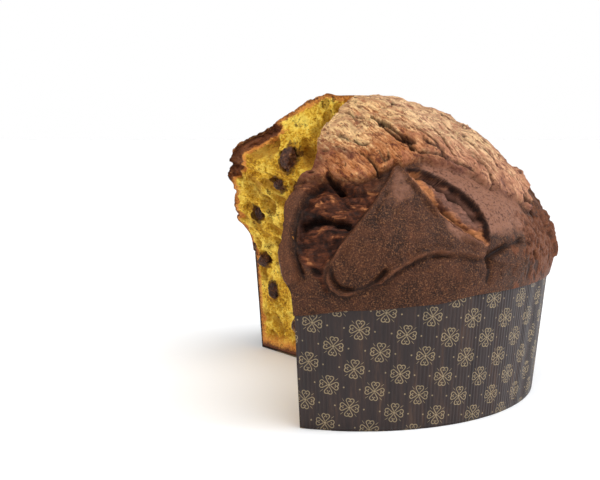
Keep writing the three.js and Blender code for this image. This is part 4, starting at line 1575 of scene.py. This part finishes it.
class Shader:
    """Writes one node material."""

    def __init__(self, name: str) -> None:
        """Starts a material with one shader and one output."""
        self.material = bpy.data.materials.new(name)
        self.material.use_nodes = True
        self.tree = self.material.node_tree
        self.surface = next(n for n in self.tree.nodes if n.type == "BSDF_PRINCIPLED")
        self.place = self.node("ShaderNodeTexCoord").outputs["Object"]

    def node(self, kind: str, **settings: object) -> bpy.types.Node:
        """Adds a node.

        Args:
            kind: What the node is.
            settings: Its settings.

        Returns:
            The node.
        """
        node = self.tree.nodes.new(kind)
        for name, value in settings.items():
            setattr(node, name, value)
        return node

    def link(self, source: Wire | Socket, target: Socket) -> None:
        """Joins a number or colour to a socket."""
        self.tree.links.new(source.socket if isinstance(source, Wire) else source, target)

    def mask(self, name: str) -> Wire:
        """Reads one of the mesh's masks."""
        node = self.node("ShaderNodeAttribute", attribute_name=name)
        return Wire(self.tree, node.outputs["Fac"])

    def stretched(self, stretch: Sequence[float], flow: Sequence[float] | None = None) -> Socket:
        """Stretches the material's space.

        Args:
            stretch: Length in millimetres that becomes 1, along X, Y and Z.
            flow: The way that the first length is turned to, if it isn't X.

        Returns:
            The stretched place.
        """
        mapping = self.node("ShaderNodeMapping", vector_type="TEXTURE")
        mapping.inputs["Scale"].default_value = [s * MM for s in stretch]
        if flow is not None:
            mapping.inputs["Rotation"].default_value = Vector(flow).to_track_quat("X", "Z").to_euler()
        self.link(self.place, mapping.inputs["Vector"])
        return mapping.outputs[0]

    def noise(self, size: float | Sequence[float], detail: float = 3, rough: float = 0.55,
              bend: float = 0.0, flow: Sequence[float] | None = None) -> Wire:
        """Adds a cloudy noise.

        Args:
            size: Its grain in millimetres, along each axis if it is stretched.
            detail: How many finer layers it has.
            rough: How strong they are.
            bend: How far it is bent by itself.
            flow: The way that a stretched grain runs.

        Returns:
            Values from 0 to 1.
        """
        sizes = (size,) * 3 if isinstance(size, (int, float)) else size
        node = self.node("ShaderNodeTexNoise")
        self.link(self.stretched(sizes, flow), node.inputs["Vector"])
        for name, value in (("Scale", 1), ("Detail", detail), ("Roughness", rough), ("Distortion", bend)):
            node.inputs[name].default_value = value
        return Wire(self.tree, node.outputs["Fac"])

    def cells(self, size: float) -> Wire:
        """Adds a pattern of cells.

        Args:
            size: Their size in millimetres.

        Returns:
            The distance from the nearest one's middle, in cells.
        """
        node = self.node("ShaderNodeTexVoronoi")
        self.link(self.stretched((size,) * 3), node.inputs["Vector"])
        node.inputs["Scale"].default_value = 1
        return Wire(self.tree, node.outputs["Distance"])

    def ramp(self, share: Wire, stops: Sequence[tuple[float, Colour]]) -> Socket:
        """Turns a number into a colour.

        Args:
            share: The number.
            stops: Places and their colours.

        Returns:
            The colour.
        """
        node = self.node("ShaderNodeValToRGB")
        elements = node.color_ramp.elements
        while len(elements) < len(stops):
            elements.new(0.5)
        for element, (place, colour) in zip(elements, stops):
            element.position = place
            element.color = (*colour, 1)
        self.link(share, node.inputs["Fac"])
        return node.outputs["Color"]

    def mix(self, share: Wire, a: Socket, b: Socket | Colour) -> Socket:
        """Mixes two colours.

        Args:
            share: How much of b.
            a: The first colour.
            b: The second colour.

        Returns:
            The mixed colour.
        """
        node = self.node("ShaderNodeMix", data_type="RGBA")
        self.link(share, node.inputs["Factor"])
        for name, colour in (("A", a), ("B", b)):
            socket = next(s for s in node.inputs if s.name == name and s.type == "RGBA")
            if isinstance(colour, tuple):
                socket.default_value = (*colour, 1)
            else:
                self.link(colour, socket)
        return next(s for s in node.outputs if s.type == "RGBA")

    def layers(self, colour: Socket, *tops: tuple[Wire, Wire | float, Colour]) -> Socket:
        """Lays colours over one another.

        Args:
            colour: The lowest colour.
            tops: Where each next colour lies, how strongly it covers, and the colour.

        Returns:
            The colour seen.
        """
        for where, strength, top in tops:
            colour = self.mix(where * strength, colour, top)
        return colour

    def finish(self, colour: Socket, roughness: Wire, height: Wire, depth: float, shine: float) -> Material:
        """Joins colour, roughness and bump to the shader.

        Args:
            colour: The surface's colour.
            roughness: Its roughness.
            height: The height of its bumps, from 0 to 1.
            depth: What 1 stands for, in millimetres.
            shine: How strongly it shines.

        Returns:
            The material.
        """
        bump_node = self.node("ShaderNodeBump")
        bump_node.inputs["Strength"].default_value = 1
        bump_node.inputs["Distance"].default_value = depth * MM
        self.link(height, bump_node.inputs["Height"])
        self.link(colour, self.surface.inputs["Base Color"])
        self.link(roughness, self.surface.inputs["Roughness"])
        self.link(bump_node.outputs["Normal"], self.surface.inputs["Normal"])
        self.surface.inputs["Specular IOR Level"].default_value = shine
        return self.material


class CrustTextures:
    """The noises that the parts of the crust share, from large clouds to the finest specks."""

    LINE_WIDTH = 0.008
    LINE_SOFT = 0.03

    def __init__(self, s: Shader) -> None:
        """Adds the noises to a material."""
        self.cloud = s.noise(26, 3)
        self.blotch = s.noise(7, 4, 0.6)
        self.speckle = s.noise(0.75, 2, 0.75)
        self.motes = s.noise(1.4, 2, 0.5)
        self.fibre = s.noise((12, 1.4, 1.4), 4, 0.65, 0.4, FLOW)
        self.thread = s.noise((10, 1.6, 1.6), 4, 0.65, 0.4)
        self.flake = s.noise((5, 2.2, 2.2), 5, 0.78, 0.2, FLOW)
        self.along_fibre = self.lines(self.fibre)
        self.along_thread = self.lines(self.thread)

    # The lines are both sunk in the bump and painted dark as shade in those grooves.
    def lines(self, noise: Wire) -> Wire:
        """Gives the thin lines where a noise is at its middle."""
        return (noise - 0.5).math("ABSOLUTE").below(self.LINE_WIDTH, self.LINE_SOFT)


@dataclass(frozen=True)
class CrustFinish:
    """Baked crust: satin brown skin, fibrous seams and a golden, flaky crown."""

    skin_dark: Colour = srgb(40, 22, 14)
    skin_warm: Colour = srgb(69, 39, 25)
    speck: Colour = srgb(116, 72, 44)
    mote: Colour = srgb(146, 100, 66)
    # Lighter skin, laid partly as painted highlight on the ear's top and the right flap.
    lighter_skin_and_highlight: Colour = srgb(142, 99, 80)
    shelf: Colour = srgb(140, 98, 82)
    pale_pink: Colour = srgb(212, 182, 168)
    porous: Colour = srgb(108, 58, 32)
    bead: Colour = srgb(128, 78, 52)
    seam_dark: Colour = srgb(28, 13, 8)
    seam_mid: Colour = srgb(63, 32, 20)
    seam_light: Colour = srgb(106, 57, 34)
    seam_pale: Colour = srgb(184, 118, 72)
    crown_dark: Colour = srgb(112, 54, 24)
    crown_mid: Colour = srgb(178, 110, 62)
    crown_light: Colour = srgb(200, 138, 90)
    crown_cream: Colour = srgb(234, 192, 136)
    glaze: Colour = srgb(160, 100, 76)
    patch: Colour = srgb(92, 47, 36)
    # Painted shade for the cracks, gashes and the lines under edges.
    painted_shade: Colour = srgb(24, 11, 7)
    bumps: float = 1.0
    shine: float = 0.14

    def material(self) -> Material:
        """Makes the crust's material.

        Returns:
            The material.
        """
        s = Shader("baked_crust")
        n = CrustTextures(s)
        in_burst, in_crown = s.mask("burst"), s.mask("crown")
        colour = s.mix(in_burst, self.skin_colour(s, n), self.seam_colour(s, n))
        colour = s.mix(in_crown, colour, self.crown_colour(s, n))
        # Painted shade in the cracks and gashes and under the flap's and ear's edges.
        colour = s.mix(s.mask("crack") * 0.9, colour, self.painted_shade)
        rough = (in_crown * 0.16 + 0.52) + (n.blotch - 0.5) * 0.2
        height = n.speckle * 0.4 + n.motes * 0.3 + n.blotch * 0.3
        height = height + (n.fibre * 0.7 + n.flake * 0.8 - n.along_fibre * 0.3 - height) * in_crown
        height = height + (n.thread * 0.9 - n.along_thread * 0.35 - height) * in_burst
        return s.finish(colour, rough, height, self.bumps, self.shine)

    def skin_colour(self, s: Shader, n: CrustTextures) -> Socket:
        """Colours the smooth, speckled skin.

        Args:
            s: The material's shader.
            n: Its noises.

        Returns:
            The colour.
        """
        uneven = n.blotch - 0.5
        return s.layers(
            s.ramp(n.cloud * 0.4 + n.blotch * 0.6, ((0.4, self.skin_dark), (0.6, self.skin_warm))),
            # Painted highlight on the ear's top and the right flap, over partly real lighter skin.
            ((s.mask("lighter_skin_and_highlight") + uneven * 1.1).above(0.5, 0.5), 0.85, self.lighter_skin_and_highlight),
            ((s.mask("porous") + uneven * 2).above(0.5, 0.3), 0.7, self.porous),
            (n.speckle.above(0.53, 0.14), 0.5, self.speck),
            ((n.motes * 0.4 + n.speckle * 0.6).above(0.6, 0.06), 0.45, self.mote),
            ((n.motes * 0.5 + n.blotch * 0.5).below(0.41, 0.04), 0.3, self.seam_dark),
            ((n.motes * 0.7 + n.speckle * 0.3).below(0.44, 0.03) * s.mask("lighter_skin_and_highlight"), 0.6, self.seam_mid),
            # Painted shade in the pits of the porous crust.
            (s.mask("pit"), 0.75, self.seam_dark),
            (s.mask("bead"), 0.6, self.bead),
        )

    def seam_colour(self, s: Shader, n: CrustTextures) -> Socket:
        """Colours the burst seams.

        Args:
            s: The material's shader.
            n: Its noises.

        Returns:
            The colour.
        """
        share = n.thread * 0.35 + s.mask("strand") * 0.35 + n.blotch * 0.3
        share = share + s.mask("lit") * 0.015 + s.mask("lens") * 0.25
        stops = (
            (0.42, self.seam_dark), (0.505, self.seam_mid), (0.59, self.seam_light), (0.67, self.seam_pale),
        )
        return s.layers(
            s.ramp(share, stops),
            (s.mask("shelf"), 0.75, self.shelf),
            # Painted shade in the grooves between the threads.
            (n.along_thread, 0.45, self.seam_dark),
        )

    def crown_colour(self, s: Shader, n: CrustTextures) -> Socket:
        """Colours the flaky crown.

        Args:
            s: The material's shader.
            n: Its noises.

        Returns:
            The colour.
        """
        golden = s.mask("golden")
        share = n.fibre * 0.28 + n.flake * 0.32 + s.mask("strand") * 0.16 + n.blotch * 0.12
        # The crown's colour is lifted at its top far left as a painted highlight.
        share = share + golden * 0.09 + s.mask("painted_left_highlight") * 0.035
        stops = (
            (0.385, self.crown_dark), (0.445, self.crown_mid), (0.505, self.crown_light),
            (0.57, self.crown_cream),
        )
        return s.layers(
            s.ramp(share, stops),
            # The crown turns paler and pinker on its right.
            (s.mask("pale_pink"), 0.22, self.pale_pink),
            ((n.blotch * 0.7 + n.cloud * 0.3).above(0.535, 0.035), 0.45, self.glaze),
            ((n.fibre * 0.3 + n.flake * 0.3 + n.blotch * 0.4).below(0.455, 0.04), 0.6, self.patch),
            # Brown patches, with the painted shadow along the crown's edge over the right flap.
            (s.mask("patch"), golden * -0.5 + 0.85, self.patch),
            # Painted shade in the grooves between the fibres.
            (n.along_fibre, (n.blotch * 3 - 1).math("MAXIMUM", 0) * 0.6, self.crown_dark),
            ((n.motes * 0.7 + n.flake * 0.3).below(0.4, 0.03), 0.6, self.seam_mid),
            # Painted shade in the crown's creases.
            (s.mask("crease"), 0.85, self.seam_dark),
        )


@dataclass(frozen=True)
class CrumbFinish:
    """Open yellow crumb, browned towards the crust and stained round the chocolate."""

    bright: Colour = srgb(250, 218, 96)
    plain: Colour = srgb(226, 176, 50)
    deep: Colour = srgb(172, 120, 30)
    # Painted shade for the hollows and pores of the crumb.
    hollow: Colour = srgb(156, 108, 32)
    pore: Colour = srgb(96, 54, 16)
    skin: Colour = srgb(104, 60, 40)
    rind: Colour = srgb(222, 142, 70)
    rind_dark: Colour = srgb(134, 70, 34)
    stain: Colour = srgb(74, 36, 17)
    bumps: float = 1.8
    shine: float = 0.15

    def material(self) -> Material:
        """Makes the crumb's material.

        Returns:
            The material.
        """
        s = Shader("open_crumb")
        cloud = s.noise(13, 4, 0.6)
        fine = s.noise(1.5, 4, 0.68)
        pores = s.cells(1.9)
        turned = s.mask("turned")
        wobble = (cloud - 0.5) * 7 + (fine - 0.5) * 4
        rim = s.mask("rim") * RIND_REACH + wobble
        base = s.mask("base") * RIND_REACH + wobble
        baked = (fine * 0.5 + cloud * 0.5).above(0.52, 0.06) * rim.below(turned * 5 + 3.2, 1)
        stain = s.mask("stain") + (fine - 0.55) * 1.4 + (cloud - 0.5) * 1.2
        smear = cloud * 0.4 + s.noise(3.2, 4, 0.72) * 0.6
        stops = ((0.41, self.deep), (0.48, self.plain), (0.57, self.bright))
        colour = s.layers(
            s.ramp(cloud * 0.5 + fine * 0.5, stops),
            # Painted shade: the deep bubbles, a pattern of pretend hollows and the fine pores are darkened.
            (s.mask("hole"), 0.8, self.hollow),
            ((s.cells(6) + (fine - 0.5) * 0.9).below(0.2, 0.12), 0.5, self.hollow),
            ((pores + (cloud - 0.5) * 1.4).below(0.17, 0.2), 0.4, self.pore),
            (rim.below(turned * 6 + 3.6, 1.6), 0.85, self.rind),
            (baked, 0.8, self.rind_dark),
            (rim.below(turned * 6.5 + 0.9, 0.9), (fine * -1.6 + 1.7).math("MINIMUM", 1), self.skin),
            (base.below(6.5, 6), 0.8, self.rind),
            (base.below(2.4, 2.4), 1.0, self.skin),
            (stain.above(0.5, 0.3), 0.88, self.stain),
            (smear.above(0.6, 0.05), 0.8, self.stain),
        )
        return s.finish(colour, fine * 0.2 + 0.66, fine * 0.7 + pores * 0.4, self.bumps, self.shine)


@dataclass(frozen=True)
class ChocolateFinish:
    """Dark chocolate, broken and a little dusty."""

    dark: Colour = srgb(38, 18, 11)
    plain: Colour = srgb(86, 48, 28)
    dust: Colour = srgb(160, 112, 66)
    bumps: float = 0.8
    shine: float = 0.3

    def material(self) -> Material:
        """Makes the chocolate's material.

        Returns:
            The material.
        """
        s = Shader("dark_chocolate")
        cloud = s.noise(3.2, 4, 0.65)
        fine = s.noise(0.7, 3, 0.6)
        colour = s.ramp(cloud, ((0.36, self.dark), (0.62, self.plain)))
        colour = s.mix((cloud * 0.6 + fine * 0.4).above(0.6, 0.08) * 0.6, colour, self.dust)
        return s.finish(colour, cloud * 0.3 + 0.4, fine * 0.5 + cloud * 0.5, self.bumps, self.shine)


@dataclass(frozen=True)
class PaperFinish:
    """Dark brown baking paper with a fine gold print of four-leaved flowers.

    Attributes:
        column: Distance between the flowers of a row, in millimetres.
        drop: Distance between two rows whose flowers stand one over the other.
        slant: Degrees that the print is turned by.
        start_round: Place of one flower, round the case.
        start_up: Its height.
        line: Half the width of the print's lines.
        soft: How softly they end.
        lobe: Place of a leaf's round end out and aside, and its radius.
        stem: How far out a leaf's stem starts and ends.
        stem_slope: How much it goes aside for its way out, and where it starts aside.
        curl: Place of the dot inside a leaf out and aside, and its radius.
        hair: How far out the hair between two leaves starts and ends, and half its width.
        dot: Place of the dot beside a flower, and its radius.
        heart: Radius of the dot in a flower's middle.
        bumps: Height of the paper's grain.
        shine: How strongly it shines.
    """

    dark: Colour = srgb(32, 22, 22)
    plain: Colour = srgb(46, 32, 29)
    warm: Colour = srgb(76, 54, 40)
    gold: Colour = srgb(160, 140, 106)
    column: float = 23.5
    drop: float = 20.7
    slant: float = -7.5
    start_round: float = 8.3
    start_up: float = 42.0
    line: float = 0.23
    soft: float = 0.12
    lobe: Triple = (3.8, 1.0, 1.04)
    stem: tuple[float, float] = (0.9, 3.05)
    stem_slope: tuple[float, float] = (0.72, 0.42)
    curl: Triple = (3.3, 0.5, 0.34)
    hair: Triple = (4.2, 6.0, 0.16)
    dot: tuple[float, float] = (7.6, 0.42)
    heart: float = 0.7
    bumps: float = 0.25
    shine: float = 0.32

    def in_flower(self, s: Shader) -> tuple[Wire, Wire]:
        """Finds the way from the nearest flower's middle, folded into one quarter.

        Args:
            s: The material's shader.

        Returns:
            The distance along the print's rows, and across them.
        """
        across, up = s.mask("print_round") - self.start_round, s.mask("print_up") - self.start_up
        turn = math.radians(self.slant)
        x = across * math.cos(turn) + up * math.sin(turn)
        y = up * math.cos(turn) - across * math.sin(turn)
        half_x, half_y = self.column / 2, self.drop / 2
        x = ((x + half_x).math("FLOORED_MODULO", self.column) - half_x).math("ABSOLUTE")
        y = ((y + half_y).math("FLOORED_MODULO", self.drop) - half_y).math("ABSOLUTE")
        x_other, y_other = (x - half_x) * -1, (y - half_y) * -1
        other = (x * x + y * y - x_other * x_other - y_other * y_other).above(0, 1e-4)
        return x + (x_other - x) * other, y + (y_other - y) * other

    def flower(self, s: Shader) -> Wire:
        """Draws the print.

        Args:
            s: The material's shader.

        Returns:
            1 on the print's lines and 0 between them.
        """
        x, y = self.in_flower(s)
        a, b = x.math("MAXIMUM", y), x.math("MINIMUM", y)
        far = length(a, b)
        out, aside, radius = self.lobe
        lobe = (length(a - out, b - aside) - radius).math("ABSOLUTE").below(self.line, self.soft)
        lobe = lobe * a.above(out - 0.2, 0.1).math("MAXIMUM", b.above(aside + 0.6, 0.1))
        slope, start = self.stem_slope
        stem = ((b - a * slope + start) / math.hypot(1, slope)).math("ABSOLUTE").below(self.line, self.soft)
        stem = stem * a.below(self.stem[1], 0.2) * a.above(self.stem[0], 0.2)
        curl = length(a - self.curl[0], b - self.curl[1]).below(self.curl[2], self.soft)
        hair = (a - b).below(self.hair[2], 0.1) * far.above(self.hair[0], 0.2) * far.below(self.hair[1], 0.2)
        dot = length(x - self.dot[0], y).below(self.dot[1], self.soft)
        for part in (stem, curl, hair, dot, far.below(self.heart, 0.3)):
            lobe = lobe.math("MAXIMUM", part)
        return lobe

    def material(self) -> Material:
        """Makes the paper's material.

        Returns:
            The material.
        """
        s = Shader("printed_paper")
        streak = s.noise((2.4, 2.4, 60), 4, 0.7)
        band = s.noise((9, 9, 120), 2, 0.6)
        fine = s.noise(0.8, 3)
        stops = ((0.36, self.dark), (0.54, self.plain), (0.7, self.warm))
        print_share = self.flower(s) * (streak * 0.8 + 0.3)
        colour = s.mix(print_share, s.ramp(streak * 0.6 + band * 0.4, stops), self.gold)
        rough = streak * 0.25 + 0.28 + print_share * 0.08
        return s.finish(colour, rough, streak * 0.7 + fine * 0.3, self.bumps, self.shine)


@dataclass(frozen=True)
class FloorFinish:
    """Plain pale studio floor."""

    pale: Colour = (0.97, 0.97, 0.97)

    def material(self) -> Material:
        """Makes the floor's material.

        Returns:
            The material.
        """
        s = Shader("studio_floor")
        cloud = s.noise(400, 2)
        colour = s.ramp(cloud, ((0.3, self.pale), (0.7, tuple(c * 1.02 for c in self.pale))))
        return s.finish(colour, cloud * 0.1 + 0.6, cloud, 0.01, 0.2)


@dataclass
class Lamp:
    """A soft rectangular light.

    Attributes:
        place: Where it stands, in metres.
        target: Where it points.
        size: Its width and height.
        power: Its power in watts.
        colour: Its colour.
    """

    place: Triple
    target: Triple
    size: tuple[float, float]
    power: float
    colour: Colour = (1.0, 1.0, 1.0)

    def build(self, name: str) -> None:
        """Makes the light.

        Args:
            name: Its name.
        """
        light = bpy.data.lights.new(name, "AREA")
        light.shape = "RECTANGLE"
        light.size, light.size_y = self.size
        light.energy = self.power
        light.color = self.colour
        lamp = add_object(name, light)
        lamp.location = self.place
        aim = Vector(self.target) - Vector(self.place)
        lamp.rotation_euler = aim.to_track_quat("-Z", "Y").to_euler()


@dataclass
class Studio:
    """The floor, the soft lights and the camera.

    Attributes:
        floor_half: Half the floor's width in metres.
        floor_height: Its height, just under the object.
        camera_place: Where the camera stands.
        camera_pitch: Degrees that it looks down.
        focal_pixels: Its focal length in pixels of the picture.
        middle: Pixels from the picture's middle to where the camera looks, right and down.
        picture: The picture's width in pixels.
        sensor: The camera's width in millimetres.
        world: Strength of the sky's light, against the pale horizon.
        horizon: How high, from 0 to 1, the pale horizon reaches.
        sky: How high the sky's light is reached.
        sun: Strength of the wide light from above.
        sun_width: Its width in degrees.
        sun_way: The way that it shines.
        lamps: The soft lights at the sides, by name.
    """

    floor_half: float = 3.0
    floor_height: float = -0.0002
    camera_place: Triple = (0.0, -0.6, 0.171)
    camera_pitch: float = 8.0
    focal_pixels: float = 1026.0
    middle: tuple[float, float] = (63.6, -5.8)
    picture: float = 600.0
    sensor: float = 36.0
    world: float = 0.36
    horizon: float = 0.2
    sky: float = 0.4
    sun: float = 2.2
    sun_width: float = 50.0
    sun_way: Triple = (-0.25, 0.3, -1.0)
    lamps: dict[str, Lamp] = field(default_factory=lambda: {
        "side_light": Lamp((1.0, -0.15, 0.5), (0, 0, 0.08), (0.5, 0.6), 6.5, (0.85, 0.91, 1.0)),
        "front_light": Lamp((-0.9, -0.4, 0.45), (-0.03, 0.03, 0.08), (0.5, 0.5), 2.7),
    })

    def build(self) -> None:
        """Makes the studio."""
        self.build_floor()
        self.build_camera()
        self.build_world()
        self.build_sun()
        for name, lamp in self.lamps.items():
            lamp.build(name)
        bpy.context.scene.view_settings.view_transform = "Standard"

    def build_world(self) -> None:
        """Makes the light all round, bright at the horizon and dimmer above."""
        world = bpy.data.worlds.new("studio_light")
        world.use_nodes = True
        tree = world.node_tree
        background = next(n for n in tree.nodes if n.type == "BACKGROUND")
        background.inputs["Strength"].default_value = 1.0
        ways = tree.nodes.new("ShaderNodeTexCoord")
        parts = tree.nodes.new("ShaderNodeSeparateXYZ")
        dome = tree.nodes.new("ShaderNodeValToRGB")
        tree.links.new(ways.outputs["Generated"], parts.inputs[0])
        tree.links.new(parts.outputs["Z"], dome.inputs["Fac"])
        tree.links.new(dome.outputs["Color"], background.inputs["Color"])
        stops = ((self.horizon, 1.0), (self.sky, self.world))
        for element, (place, light) in zip(dome.color_ramp.elements, stops):
            element.position = place
            element.color = (light, light, light, 1)
        bpy.context.scene.world = world

    def build_sun(self) -> None:
        """Makes the wide soft light from above."""
        light = bpy.data.lights.new("top_light", "SUN")
        light.energy = self.sun
        light.angle = math.radians(self.sun_width)
        lamp = add_object("top_light", light)
        lamp.rotation_euler = Vector(self.sun_way).to_track_quat("-Z", "Y").to_euler()

    def build_floor(self) -> None:
        """Makes the floor, just under the object."""
        half, low = self.floor_half, self.floor_height
        mesh = bpy.data.meshes.new("studio_floor")
        corners = [(-half, -half, low), (half, -half, low), (half, half, low), (-half, half, low)]
        mesh.from_pydata(corners, [], [(0, 1, 2, 3)])
        mesh.materials.append(FloorFinish().material())
        floor = add_object("studio_floor", mesh)

    def build_camera(self) -> None:
        """Makes the camera, a little above the loaf."""
        data = bpy.data.cameras.new("studio_camera")
        data.sensor_width = self.sensor
        data.lens = self.focal_pixels * data.sensor_width / self.picture
        data.shift_x = -self.middle[0] / self.picture
        data.shift_y = self.middle[1] / self.picture
        camera = add_object("studio_camera", data)
        camera.location = self.camera_place
        camera.rotation_euler = (math.radians(90 - self.camera_pitch), 0, 0)
        bpy.context.scene.camera = camera


def place_piece(piece: Object, slot: str, *nodes: str) -> None:
    """Lets a piece stand for its nodes.

    Args:
        piece: The piece.
        slot: Not used.
        nodes: The nodes that it stands for.
    """
    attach(piece, BODY)
    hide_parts(*nodes)
    LOG.info("%s stands for %s: %d faces", piece.name, ", ".join(nodes), len(piece.data.polygons))


def write_sizes() -> None:
    """Brings the scene's placements up to date."""
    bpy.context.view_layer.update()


def main() -> None:
    """Builds and dresses the panettone, piece by piece."""
    logging.basicConfig(level=logging.INFO, format="%(message)s")
    loaf = Loaf()
    chocolate = ChocolateFinish().material()
    names = sorted(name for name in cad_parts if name.startswith("chocolate_"))
    pieces = [Chocolate(name) for name in names]
    for side in Side:
        loaf.faces[side].hold(p.corners() for p in pieces if side.value in p.node)
    for number, piece in enumerate(pieces):
        place_piece(piece.build(chocolate, 100 + number), "chocolate", piece.node)
    place_piece(loaf.build(CrustFinish().material(), CrumbFinish().material()), "crust", "loaf")
    place_piece(PaperCase().build(PaperFinish().material()), "case_paper", "paper_case")
    Studio().build()
    write_sizes()


if __name__ == "__main__":
    main()
